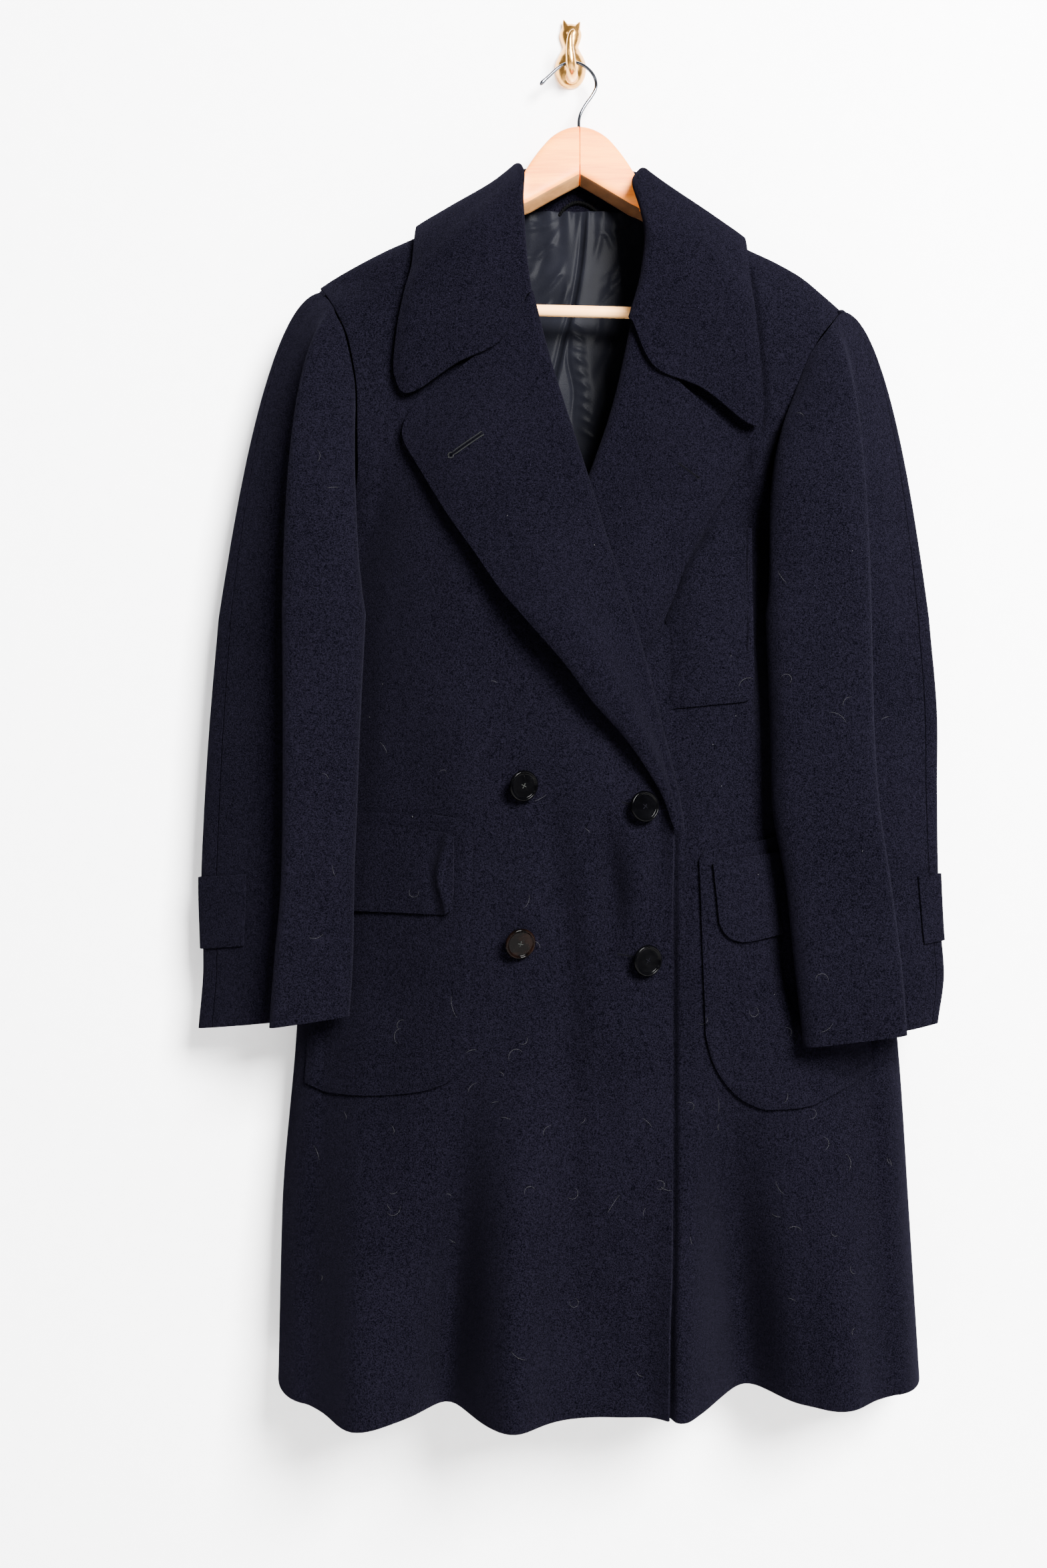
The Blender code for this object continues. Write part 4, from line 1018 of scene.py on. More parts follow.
# %% Cuff tabs
def cuff_tab(side, begin, until, high, low):
    """A tab round the back of the cuff, between two places and two levels."""
    around = sleeve(side, begin, until)
    cuff = ARM_LEVELS[side]["z"][0]

    def surface(u, v):
        u = 1 - round_corner(v, 1 - u, 0.2, 0.1)
        u = 1 - round_corner(1 - v, 1 - u, 0.2, 0.1)
        level = high + (low - high) * v
        down = CAP_SHARE + (1 - CAP_SHARE) * (level - CAP_LOW) / (cuff - CAP_LOW)
        return around(u, down) + normals_of(around, u, down, side == "left") * (LAID + POCKET)

    return surface


hang("cuff_tab_right", cuff_tab("right", 6.1, 8.3, -751.0, -815.0), (44, 20), False, WOOL, POCKET)
hang("cuff_tab_left", cuff_tab("left", 6.3, 8.3, -758.0, -819.0), (44, 20), True, WOOL, POCKET)

# %% [markdown]
# ## Lapels and collar
#
# The front facing rolls back as a lapel. It is stiffened with canvas, so it turns in a soft roll and
# stands a little off the chest, most of all where the roll ends above the top button. The collar is
# one piece from notch to notch: a stand that goes up the neck, a fold, and a leaf that comes down.

# %% Lapels
LAPEL_OVER = table(
    "roll_x roll_z out_x out_z notch_x notch_z lift",
    [
        (-43, -236, -148, -346, 10, -8, 3),
        (-31, -285, -149, -363, 3, -2, 4),
        (-10, -357, -128, -403, 0, 0, 6),
        (8, -415, -106, -440, 0, 0, 9),
        (21, -459, -84, -472, 0, 0, 14),
        (36, -503, -60, -507, 0, 0, 20),
        (47, -540, -37, -533, 0, 0, 26),
        (56, -571, -8, -566, 0, 0, 26),
        (63, -600, 16, -598, 0, 0, 22),
        (70, -628, 42, -626, 0, 0, 16),
        (77, -655, 62, -654, 0, 0, 9),
        (83, -684, 79, -684, 0, 0, 3),
        (86, -708, 85.4, -708, 0, 0, 0),
    ],
)

LAPEL_UNDER = table(
    "roll_x roll_z out_x out_z notch_x notch_z lift",
    [
        (57, -267, 152, -373, -9, -6, 4),
        (45, -322, 150, -379, -3, 0, 6),
        (37, -351, 134, -408, 0, 0, 10),
        (17, -408, 112, -443, 0, 0, 11),
        (4, -440, 94, -478, 0, 0, 10.5),
        (-10, -475, 83, -509, 0, 0, 9.5),
        (-20, -500, 72, -531, 0, 0, 7.5),
        (-34, -540, 50, -560, 0, 0, 5),
        (-50, -580, 18, -596, 0, 0, 3),
        (-66, -630, -44, -640, 0, 0, 2),
    ],
)


def lapel(rows, side, depth, droop):
    """A facing turned back round the panel's edge (u = 0). Its edge droops by that share of its lift."""
    steps = np.linspace(0.0, 1.0, len(rows["lift"]))
    bend, crown = 0.13, 0.33  # shares of its width: the turn, and where the notch pulls most
    radius = CLOTH / 2 + 0.5 + FACING

    def surface(u, v):
        v = round_corner(u, v, 0.1, 0.07)
        roll_x, roll_z, out_x, out_z, notch_x, notch_z, lift = (
            smooth(v, steps, column) for column in rows.values()
        )
        across = np.clip((u - bend) / (1 - bend), 0.0, 1.0)
        hat = np.where(across < crown, across / crown, (1 - across) / (1 - crown))
        x = roll_x + (out_x - roll_x) * across + notch_x * hat
        z = roll_z + (out_z - roll_z) * across + notch_z * hat
        angle = (-35 + 125 * np.clip(u / bend, 0.0, 1.0)) * math.pi / 180
        x = x + side * radius * np.cos(angle) * (u < bend)
        middle = depth(x * (u >= bend) + roll_x * (u < bend), z) + CLOTH / 2
        y = middle - radius * np.sin(angle) - lift * ease(across * 1.6)
        y = y + droop * lift * np.clip((across - 0.86) / 0.14, 0.0, 1.0) ** 2
        return np.stack([x, y, z], axis=-1)

    return surface


LAPEL_SPACING = {"us": ((0, 0.22, 0.84, 1), (0, 0.13, 0.9, 1)), "vs": ((0, 0.16, 1), (0, 0.08, 1))}
over_skin, under_skin = lapel(LAPEL_OVER, 1, over_y, 0.1), lapel(LAPEL_UNDER, -1, front_y, 0.5)
hang("lapel_over", over_skin, (64, 150), True, WOOL_FACING, FACING, **LAPEL_SPACING)
hang("lapel_under", under_skin, (60, 130), False, WOOL_FACING, FACING, **LAPEL_SPACING)

# %% Collar
COLLAR = table(
    "at sx sy sz fx fy fz mx my mz nx ny nz ex ey ez",
    [
        (0.00, -44, -89, -241, -40, -97, -239, -65, -100, -283, -104, -99, -303, -147, -97, -334),
        (0.06, -47, -83, -208, -44, -96, -206, -78, -102, -245, -118, -100, -282, -156, -97, -305),
        (0.13, -51, -78, -180, -46, -94, -176, -80, -101, -210, -118, -99, -243, -153, -96, -272),
        (0.20, -56, -67, -158, -47, -84, -152, -78, -96, -180, -112, -96, -207, -147, -93, -240),
        (0.27, -60, -54, -137, -46, -68, -127, -76, -80, -154, -108, -85, -181, -140, -86, -210),
        (0.34, -61, -36, -130, -48, -44, -112, -72, -53, -133, -104, -54, -151.5, -138, -53, -170.5),
        (0.40, -54, -17, -136, -46, -19, -108, -64, -8, -136, -92, -5, -161, -124, -5, -191),
        (0.45, -34, -8.5, -143, -24, -8.6, -101, -32, -3.6, -135, -44, -3.6, -165, -56, -3.6, -196),
        (0.50, 7, -8, -144.5, 7, -7.8, -99, 7, -3.6, -130, 7, -3.6, -163, 7, -3.6, -198),
        (0.55, 48, -8.5, -144.5, 38, -8.6, -102, 46, -3.6, -136, 58, -3.6, -167, 70, -3.6, -199),
        (0.60, 67, -17, -141, 60, -19, -111, 80, -8, -142, 110, -5, -171, 140, -5, -201),
        (0.66, 78, -36, -136, 62, -44, -116, 86, -53, -136, 118, -54, -158, 152, -53, -180.5),
        (0.73, 76, -54, -146, 55, -68, -134, 88, -80, -161, 120, -86, -188, 152, -88, -219),
        (0.80, 72, -68, -172, 61, -84, -162, 92, -95, -190, 124, -98, -219, 156, -95, -252),
        (0.87, 68, -78, -200, 65, -94, -188, 94, -102, -222, 126, -100, -255, 160, -98, -293),
        (0.94, 62, -84, -232, 61, -96, -222, 92, -103, -262, 126, -101, -300, 163, -98, -333),
        (1.00, 54, -89, -264, 50, -97, -262, 70, -102, -306, 113, -100, -325, 160, -98, -364),
    ],
)
FOLD_RADIUS = 4.2
STAND, FOLDED = 0.2, 0.42  # shares of the collar's height: the stand's end, and the fold's end


def collar(u, v):
    """The collar's section goes up the stand, over the fold and down the leaf."""
    v = round_corner(u, v, 0.09, 0.022)
    v = 1 - round_corner(u, 1 - v, 0.09, 0.022)

    def place(letter):
        return np.stack([smooth(v, COLLAR["at"], COLLAR[letter + axis]) for axis in "xyz"], axis=-1)

    seam, fold, leaf, low, edge = (place(letter) for letter in "sfmne")
    out = unit(fold - 0.5 * (seam + leaf))
    across = leaf - seam
    across = unit(across - out * np.sum(across * out, axis=-1, keepdims=True))
    centre = fold - FOLD_RADIUS * out
    stand_end, leaf_start = centre - FOLD_RADIUS * across, centre + FOLD_RADIUS * across
    stand = seam + (stand_end - seam) * np.clip(u / STAND, 0.0, 1.0)[..., None]
    angle = (math.pi * np.clip((u - STAND) / (FOLDED - STAND), 0.0, 1.0))[..., None]
    bend = centre + FOLD_RADIUS * (np.sin(angle) * out - np.cos(angle) * across)
    t = (3 * np.clip((u - FOLDED) / (1 - FOLDED), 0.0, 1.0))[..., None]
    before_leaf = leaf - 1.2 * (leaf - leaf_start)
    knots = [before_leaf, leaf_start, leaf, low, edge, 2 * edge - low]
    down = np.zeros_like(bend)
    for k in range(3):
        p0, p1, p2, p3 = knots[k : k + 4]
        piece = cubic(np.clip(t - k, 0.0, 1.0), p1, 0.5 * (p2 - p0), p2, 0.5 * (p3 - p1))
        down = np.where((t >= k) & (t <= k + 1), piece, down)
    at_front = ease((-40.0 - edge[..., 1]) / 40.0)
    down[..., 1] += 4.0 * at_front * np.clip((u - 0.93) / 0.07, 0.0, 1.0) ** 2
    u = u[..., None]
    return np.where(u <= STAND, stand, np.where(u <= FOLDED, bend, down))


hang(
    "collar", collar, (58, 190), False, WOOL_FACING, FACING,
    us=((0, 0.16, 0.42, 0.82, 1), (0, 0.2, 0.42, 0.9, 1)), vs=((0, 0.08, 0.92, 1), (0, 0.04, 0.96, 1)),
)

# %% [markdown]
# ## Pockets and flaps
#
# The pockets are patches, laid on the fronts and sewn round their edges, and each lower one has a flap
# sewn on just under its mouth. A patch follows the cloth it lies on, moved out by its own thickness.

# %% Patches
POCKET_OVER = table(
    "u top low",
    [
        (0.00, -693, -932), (0.15, -693, -939), (0.40, -693, -938), (0.70, -694, -932), (0.84, -696, -925),
        (0.91, -698, -918), (0.955, -700, -909), (0.985, -703, -897), (1.00, -708, -884),
    ],
)
POCKET_UNDER = table(
    "u top low",
    [
        (0.00, -734, -884), (0.015, -729, -895), (0.04, -726, -908), (0.08, -725, -920), (0.14, -724, -932),
        (0.22, -722, -942), (0.34, -719, -949), (0.50, -714, -948), (0.72, -708, -936), (0.92, -702, -922),
        (1.00, -700, -914),
    ],
)
POCKET_BREAST = table(
    "u top low",
    [
        (0.0, -447, -603), (0.5, -445, -599), (0.86, -444, -596), (0.94, -443.5, -594), (0.98, -443.5, -590),
        (1.0, -444, -584),
    ],
)
FLAP_OVER = table("u top low", [(0.0, -704, -780), (0.5, -705, -779), (0.93, -710, -780), (1.0, -713, -776)])
FLAP_UNDER = table(
    "u top low",
    [
        (0.0, -737, -788), (0.03, -735, -796), (0.08, -734, -802), (0.16, -733, -805), (0.5, -727, -797),
        (0.9, -719, -790), (0.97, -718, -786), (1.0, -719, -780),
    ],
)


def hem_roll(distance, mouth):
    """Rise of a turned edge: it drops to the cloth at the seam, with a soft roll just inside it."""
    roll = 0.45 * bell(distance - 6.5, 4.2)
    return roll - (0.0 if mouth else 0.6) * bell(distance, 2.4)


def laid(rows, sides, depth, out, free=False, curl=0.0):
    """A patch that follows a panel, moved out from it. Its sides are the top's, then the low edge's."""
    left_top, right_top, left_low, right_low = sides

    def surface(u, v):
        left = left_top + (left_low - left_top) * v
        right = right_top + (right_low - right_top) * v
        x = left + (right - left) * u
        high, low = read_off(rows, "u", u, "top low")
        z = high + (low - high) * v
        y = depth(x, z)
        d = 0.5
        slope_x = (depth(x + d, z) - depth(x - d, z)) / (2 * d)
        slope_z = (depth(x, z + d) - depth(x, z - d)) / (2 * d)
        facing = unit(np.stack([slope_x, -np.ones_like(x), slope_z], axis=-1))
        rise = hem_roll(np.minimum(np.minimum(x - left, right - x), (high - low) * (1 - v)), free)
        wave = 0.35 * np.sin(x / 11.0 + 0.8 * np.sin(z / 17.0)) + 0.3 * np.sin(z / 13.0 + x / 29.0)
        ridge = 0.965 - 0.06 * np.sin(math.pi * np.clip(v, 0.0, 1.0)) ** 2
        bend = bell(u - ridge, 0.030) - 0.75 * bell(u - ridge + 0.085, 0.045)
        bend = curl * bend * (0.35 + 0.65 * ease(v / 0.3))
        return np.stack([x, y, z], axis=-1) + (out + rise + wave + bend)[..., None] * facing

    return surface


def chest_y(x, z):
    """The breast pocket bridges the hollow beside the armhole, and its inner side is sewn down flat."""
    tuck = 4.2 * bell(x - 76.0, 14.0)
    return front_y(np.minimum(x, 150.0), np.minimum(z, -480.0)) + beside_edges(x, z) + tuck


WIDE_ENDS = ((0, 0.25, 0.75, 1), (0, 0.12, 0.88, 1))
LOW_END = ((0, 0.6, 1), (0, 0.8, 1))
ON_FRONT, ON_POCKET = LAID + POCKET, 2 * (LAID + POCKET)  # how far out a patch's face lies
PATCHES = (
    # name, its table, its sides, what it lies on, how far out, cells of its grid, free mouth, curl
    ("pocket_over", POCKET_OVER, (-222, -87, -236, -90), over_y, ON_FRONT + 1.0, (72, 83), False, 0),
    ("pocket_under", POCKET_UNDER, (107, 248, 112, 276), front_y, ON_FRONT + 1.8, (72, 83), False, 0),
    ("pocket_breast", POCKET_BREAST, (80, 156, 84, 157), chest_y, ON_FRONT + 0.6, (54, 64), False, 0),
    ("flap_over", FLAP_OVER, (-214, -101, -220, -102), over_y, ON_POCKET + 2.6, (74, 38), True, 3.2),
    ("flap_under", FLAP_UNDER, (118, 240, 123, 252), front_y, ON_POCKET + 3.4, (74, 38), True, 0.8),
)
for name, *where, cells, free, curl in PATCHES:
    hang(name, laid(*where, free, curl), cells, True, WOOL, POCKET, WIDE_ENDS, LOW_END)

# %% [markdown]
# ## The lining
#
# Inside the neck the satin lining of the back shows. It is cut wider than the back and the spare width
# is laid in a pleat down the middle, so that the wool can stretch over the shoulders without tearing
# it. Satin is thin: it puckers at its seam with the collar and holds every crease.

# %% Lining
def lining_y(z):
    """The lining hangs straight, in front of the back's folds."""
    return WALL_SIDE - CLOTH - LINING_AIR - LINING - 15.0 * ease((-560.0 - z) / 500.0)


SATIN_CREASES = table(
    "x_top z_top x_low z_low half rise",
    [
        (-34, -143, -68, -152, 3.0, 1.3), (-11, -150, -53, -162, 2.6, 1.5), (-12, -158, -34, -188, 3.0, 1.9),
        (-50, -168, -68, -175, 2.4, 1.1), (-40, -182, -59, -192, 3.6, 1.8), (-34, -195, -53, -211, 3.6, 1.6),
        (-7, -190, -27, -219, 3.0, 1.7), (-4, -210, -11, -230, 2.6, 1.5), (25, -148, 23, -192, 3.4, 0.9),
        (30, -158, 37, -176, 2.8, 1.2), (57, -172, 42, -193, 3.0, 1.6), (52, -195, 28, -219, 3.0, 1.6),
        (58, -153, 38, -161, 2.4, 1.2), (56, -205, 44, -222, 2.6, 1.2), (-24, -165, -30, -205, 3.4, -1.4),
        (-60, -200, -48, -232, 3.4, 1.4), (-20, -224, -34, -238, 2.6, 1.2), (44, -150, 50, -168, 2.6, -1.2),
        (-5, -236, 3, -345, 1.8, -1.8), (5, -236, 14, -352, 6.0, 1.6), (-26, -245, -12, -330, 9.0, 1.0),
        (0, -244, 9, -251, 1.5, 0.9), (-1, -254, 9, -262, 1.6, 1.0), (1, -267, 11, -272, 1.4, 0.8),
        (1, -275, 12, -284, 1.7, 1.1), (3, -288, 13, -294, 1.5, 0.8), (3, -297, 14, -305, 1.6, 1.0),
        (5, -309, 15, -316, 1.4, 0.9), (6, -319, 16, -328, 1.7, 1.0), (8, -332, 17, -338, 1.4, 0.8),
        (9, -343, 18, -351, 1.5, 0.9), (38, -258, 22, -300, 4.0, 1.0), (30, -306, 19, -345, 3.4, 0.9),
        (46, -236, 33, -262, 4.0, 0.9), (26, -238, 20, -262, 3.0, -0.8),
        (-46, -152, -22, -158, 1.8, 0.7), (-30, -170, -10, -176, 1.6, 0.6), (-52, -188, -30, -184, 1.8, 0.8),
        (-24, -206, -6, -200, 1.8, 0.7), (28, -204, 50, -198, 1.8, 0.7), (34, -214, 44, -190, 1.6, 0.8),
        (20, -160, 40, -168, 1.8, 0.6), (24, -228, 44, -212, 2.0, 0.7), (-56, -222, -36, -214, 2.0, 0.8),
    ],
)


def satin_creases(x, z):
    """The pleat in the middle, puckers under the collar seam, and each listed crease."""
    pleat_x = smooth(z, [-1170, -350, -262, -230, -185, -141], [-30, -22, -6, 3, 10.5, 14.5])
    fold = -2.8 / (1.0 + np.exp(-(x - pleat_x) * 1.7)) * bell(np.maximum(x - pleat_x, 0), 15.0)
    fold = fold + 1.2 * bell(x - pleat_x + 4.0, 2.4)
    pucker = 0.7 * np.exp((z + 150.0) / 16.0) * np.sin(x / 2.7 + 0.6 * np.sin(x / 9.0))
    total = fold + pucker + 0.4 * np.sin((x - 0.35 * z) / 15.0 + 0.8 * np.sin(z / 37.0))
    for x_top, z_top, x_low, z_low, half, rise in zip(*SATIN_CREASES.values()):
        length = math.hypot(x_low - x_top, z_low - z_top)
        ahead = ((x_low - x_top) / length, (z_low - z_top) / length)
        along = (x - x_top) * ahead[0] + (z - z_top) * ahead[1]
        beside = (x - x_top) * ahead[1] - (z - z_top) * ahead[0]
        beside = beside + 1.6 * np.sin(along / 9.0)
        reach = 0.45 * length + 4.0
        inside = ease((along + 5) / reach) * ease((length + 5 - along) / reach)
        total = total - 0.7 * rise * inside * bell(beside, half)
    return total


def lining_top(x):
    """The lining is sewn to the lower edge of the collar's stand."""
    return smooth(x, [-75, -61, -54, -34, 7, 48, 67, 90], [-131, -131, -136, -141, -142, -142.2, -140, -138])


LINING_HIGH, LINING_LOW = -147.0, -1165.0


def lining(u, v):
    """The lining's face. It narrows to the neck at the top, and stays in front of the back."""
    level = LINING_HIGH + (LINING_LOW - LINING_HIGH) * v
    left, right = read_off(BACK, "z", level, "left right")
    left, right = left + 34.0, right - 34.0
    open_neck = ease((level + 300.0) / 120.0)
    left = left + (-62.0 - left) * open_neck
    right = right + (78.0 - right) * open_neck
    x = left + (right - left) * u
    z = level + (lining_top(x) - LINING_HIGH) * (1 - ease(v / 0.06))
    inner = back_y(x, z) - CLOTH - 2.4
    y = np.minimum(lining_y(z) - 2.2, inner) + np.clip(satin_creases(x, z), -6.0, 2.4)
    return np.stack([x, y, z], axis=-1)


hang(
    "lining_back", lining, (122, 214), True, SATIN, LINING,
    ((0, 0.18, 0.82, 1), (0, 0.34, 0.66, 1)), ((0, 0.62, 1), (0, 0.22, 1)), slot="lining",
)

# %% [markdown]
# ## The hanger
#
# Two arms of pale varnished wood meet in a mitre, with a round bar let into both and a steel hook
# screwed in at the middle. The section is a soft rectangle, so the arms are lofted through rings
# whose corners are rounded by a power curve.

# %% Wooden arms
TILT = 0.026  # the arm on the wearer's left hangs lower

HANGER = table(
    "out top low half y",
    [
        (0, -71.3, -115.5, 9.5, -31), (6, -72, -118.9, 9.5, -31), (13, -74, -122.9, 9.5, -31),
        (24, -80.5, -129.4, 9.5, -31), (34.5, -92, -135.6, 9.5, -31), (45, -107, -141.9, 9.5, -31),
        (52, -120, -145.8, 9.5, -32), (58, -134, -152, 9, -35), (70, -147, -164, 8.5, -39),
        (90, -158, -176, 8.5, -40), (120, -173.7, -193, 8.5, -39), (150, -189.5, -209, 8.5, -38),
        (180, -203.2, -226, 8.5, -36.2), (192, -209.2, -240, 8.8, -35.8),
        (199, -214.2, -252, 8.8, -35.6), (214, -227.2, -257, 8.8, -35.5),
    ],
)


def leaning(y, z):
    """The hanger leans: its lower parts lie nearer the front."""
    return y + 0.1 * (100 + z)


def arm_rings(side):
    """Rings of one arm, from the mitre in the middle to its tip."""
    out = np.concatenate([[0.15, 0.7], np.linspace(2, 212, 70), [213.2, 213.9]])
    turn = np.arange(40) * 2 * math.pi / 40 + math.pi / 40
    across = np.sign(np.cos(turn)) * np.abs(np.cos(turn)) ** 0.3
    up = np.sign(np.sin(turn)) * np.abs(np.sin(turn)) ** 0.3
    rings = []
    for at in out:
        top, low, half, y0 = (float(n) for n in read_off(HANGER, "out", at, "top low half y"))
        ease_end = 0.94 if at < 0.5 or at > 213.5 else 1.0
        z = 0.5 * (top + low) + 0.5 * (top - low) * up * ease_end - side * at * TILT
        z = z - 4.5 * (1 + across) * np.clip(-up, 0.0, 1.0) * float(ease((75.0 - at) / 30.0))
        y = leaning(y0, z) + half * across * ease_end
        rings.append(np.stack([np.full_like(z, MIDDLE + side * at), y, z], axis=-1))
    return rings


def bar_point(out):
    """A place on the bar's axis."""
    z = -243.5 - out * TILT
    return (MIDDLE + out, leaning(-35.5, z), z)


def mark_underside(obj):
    """Faces that look down are marked for the wood's painted shade."""
    mark = obj.data.attributes.new("underside", "FLOAT", "FACE")
    for face, value in zip(obj.data.polygons, mark.data):
        value.value = 1.0 if face.normal.z < -0.62 else 0.0


arm_right = loft("hanger_right_wood", arm_rings(-1), WOOD_LEFT, "hanger_right")
arm_left = loft("hanger_left_wood", arm_rings(1), WOOD_RIGHT, "hanger_left")
mark_underside(arm_right)
mark_underside(arm_left)
bar_path = finer([bar_point(-203.2), bar_point(-60), bar_point(60), bar_point(203.2)], 40)
loft("hanger_bar_wood", tube(bar_path, 5.2, 32), WOOD_BAR, "hanger_bar")
print("hanger arms and bar made")

# %% Steel hook of the hanger
WIRE = [
    (-29.0, -22, -28.8), (-25.5, -22, -25.0), (-20, -22, -20), (-13.5, -22, -14.0), (-7, -22, -10.1),
    (0, -22, -8.35), (7, -22, -9.3), (13.5, -22, -12.8), (19, -22, -18.5), (22, -22.2, -25.5),
    (21.8, -22.8, -32.5), (18, -23.6, -40), (12.5, -24.6, -48), (8.2, -25.7, -56), (6.4, -26.7, -63),
    (6.3, -27.8, -72), (6.3, -29.6, -88.5),
]
wire_path = finer(WIRE, 150)
wire_radii = np.full(len(wire_path), 1.5)
wire_radii[:9] = [0.6, 1.3, 1.7, 1.9, 1.9, 1.9, 1.8, 1.65, 1.55]
loft("hanger_wire_steel", tube(wire_path, wire_radii, 20), STEEL, "hanger_wire", 60)
print("hook of the hanger bent")

# %% [markdown]
# ## The wall hook
#
# A small brass cat sits with its back to the room, and its tail curls out and up as the hook. The body,
# ears and tail overlap as separate forms, and a voxel remesh melts them into one casting.

# %% Cat
CAT = table(
    "z half depth",
    [
        (-23.5, 3.0, 2.5), (-21.5, 7.6, 6.0), (-17, 11.6, 10.0), (-11, 14.0, 12.6), (-4, 14.8, 13.2),
        (3, 12.9, 12.0), (9, 9.8, 9.6), (14.7, 7.4, 8.0), (19.5, 9.0, 8.8), (25.8, 10.4, 10.0),
        (31, 9.0, 8.6), (34.5, 6.0, 5.6), (36.3, 2.0, 2.0),
    ],
)
EAR_LEFT = ([(-4.6, -4.0, 30.0), (-6.2, -4.0, 35.5), (-7.2, -3.6, 39.6)], [4.0, 2.4, 0.5])
EAR_RIGHT = ([(4.4, -4.0, 29.0), (6.6, -4.0, 34.0), (8.3, -3.6, 37.6)], [4.0, 2.4, 0.5])
TAIL = (
    [
        (0.4, -6, -15.5), (0.4, -14, -16.6), (0.2, -21.5, -16.2), (-0.6, -27, -12.6), (-1.4, -29.6, -6),
        (-2.0, -30.8, 2), (-1.9, -31.6, 9.5), (-0.6, -31.6, 15), (2.0, -30.8, 18.0),
    ],
    [5.2, 5.3, 5.2, 4.9, 4.5, 3.9, 3.2, 2.5, 1.4],
)


def cat_rings():
    """Half rings round the cat's body, open to the wall."""
    heights = np.linspace(-23.5, 36.3, 64)
    turn = np.linspace(0, math.pi, 33)
    rings = []
    for z in heights:
        half, depth = (float(n) for n in read_off(CAT, "z", z, "half depth"))
        x = -0.5 + half * np.cos(turn)
        y = -np.abs(depth * np.sin(turn))
        rings.append(np.stack([x, y, np.full_like(x, z)], axis=-1))
    return rings


def applied(obj):
    """The object's mesh with its modifiers worked in."""
    mesh = bpy.data.meshes.new_from_object(obj.evaluated_get(bpy.context.evaluated_depsgraph_get()))
    obj.modifiers.clear()
    return mesh


def taper(path, radii, steps, around):
    """Rings along a path whose radius changes from place to place."""
    at = np.linspace(0, 1, steps)
    return tube(finer(path, steps), np.interp(at, np.linspace(0, 1, len(radii)), radii), around)


FINEST = 0.0006  # edge of the small cubes that the casting is rebuilt from, in metres
forms = [loft("cat_body", cat_rings())]
for name, form, steps, around in (
    ("ear_a", EAR_LEFT, 16, 16), ("ear_b", EAR_RIGHT, 16, 16), ("tail", TAIL, 60, 24),
):
    forms.append(loft(name, taper(*form, steps, around)))
melted = bmesh.new()
for form in forms:
    melted.from_mesh(form.data)
    bpy.data.objects.remove(form)
cat = put_shape("wall_hook_brass", melted)
remesh = cat.modifiers.new("melt", "REMESH")
remesh.mode = "VOXEL"
remesh.voxel_size = FINEST
smoothed = bmesh.new()
smoothed.from_mesh(applied(cat))
for _ in range(6):
    bmesh.ops.smooth_vert(
        smoothed, verts=smoothed.verts, factor=0.5, use_axis_x=True, use_axis_y=False, use_axis_z=True,
    )
    off_the_wall = [v for v in smoothed.verts if v.co.y < -0.0008]
    bmesh.ops.smooth_vert(
        smoothed, verts=off_the_wall, factor=0.5, use_axis_x=False, use_axis_y=True, use_axis_z=False,
    )
smoothed.to_mesh(cat.data)
smoothed.free()
cat.data.shade_smooth()
dress(cat, BRASS, "wall_hook")
print("cat cast with", len(cat.data.polygons), "faces")

# %% [markdown]
# ## Buttons
#
# The buttons are turned from horn, with a thin raised rim round a flat face and four holes. A turned
# shape is spun from its profile, and the holes are drilled with booleans.

# %% Turned buttons
BUTTON = [
    (0.0, 0.0), (11.0, 0.0), (12.3, 0.35), (13.1, 1.1), (13.4, 2.0), (13.35, 2.9), (13.05, 3.65), (12.6, 4.1),
    (12.1, 4.25), (11.6, 4.1), (11.2, 3.6), (10.9, 3.1), (10.5, 2.82), (10.2, 2.78), (9.6, 2.78),
    (0.6, 2.78), (0.0, 2.78),
]
HOLE_AT = 2.4  # distance of a hole from the button's middle
BUTTONS = table(
    "x z turn out tip lean",
    [
        (-45, -669, 20, 7.0, 8, 27), (58, -687, 5, 6.6, -4, 24),
        (-47.5, -802.5, 35, 7.0, 14, 20), (60, -817, 12, 6.8, 4, 25),
    ],
)


def placed(points, x, z, out, tip, lean):
    """Points of a button, set on the front that laps over."""
    a, b = math.radians(tip), math.radians(lean)
    tilt_x = np.array([[1, 0, 0], [0, math.cos(a), -math.sin(a)], [0, math.sin(a), math.cos(a)]])
    tilt_z = np.array([[math.cos(b), -math.sin(b), 0], [math.sin(b), math.cos(b), 0], [0, 0, 1]])
    y = float(over_y(np.array([x]), np.array([z]))[0]) - out
    return np.asarray(points) @ (tilt_z @ tilt_x).T + np.array([x, y, z])


def turned(name):
    """The profile is spun about its axis, which is Y."""
    shape = bmesh.new()
    profile = [shape.verts.new((r * MM, -h * MM, 0.0)) for r, h in BUTTON]
    edges = [shape.edges.new(pair) for pair in zip(profile, profile[1:])]
    bmesh.ops.spin(
        shape, geom=profile + edges, cent=(0, 0, 0), axis=(0, 1, 0), dvec=(0, 0, 0), angle=2 * math.pi,
        steps=64, use_merge=True, use_duplicate=False,
    )
    bmesh.ops.remove_doubles(shape, verts=shape.verts[:], dist=1e-6)
    bmesh.ops.recalc_face_normals(shape, faces=shape.faces[:])
    return put_shape(name, shape)


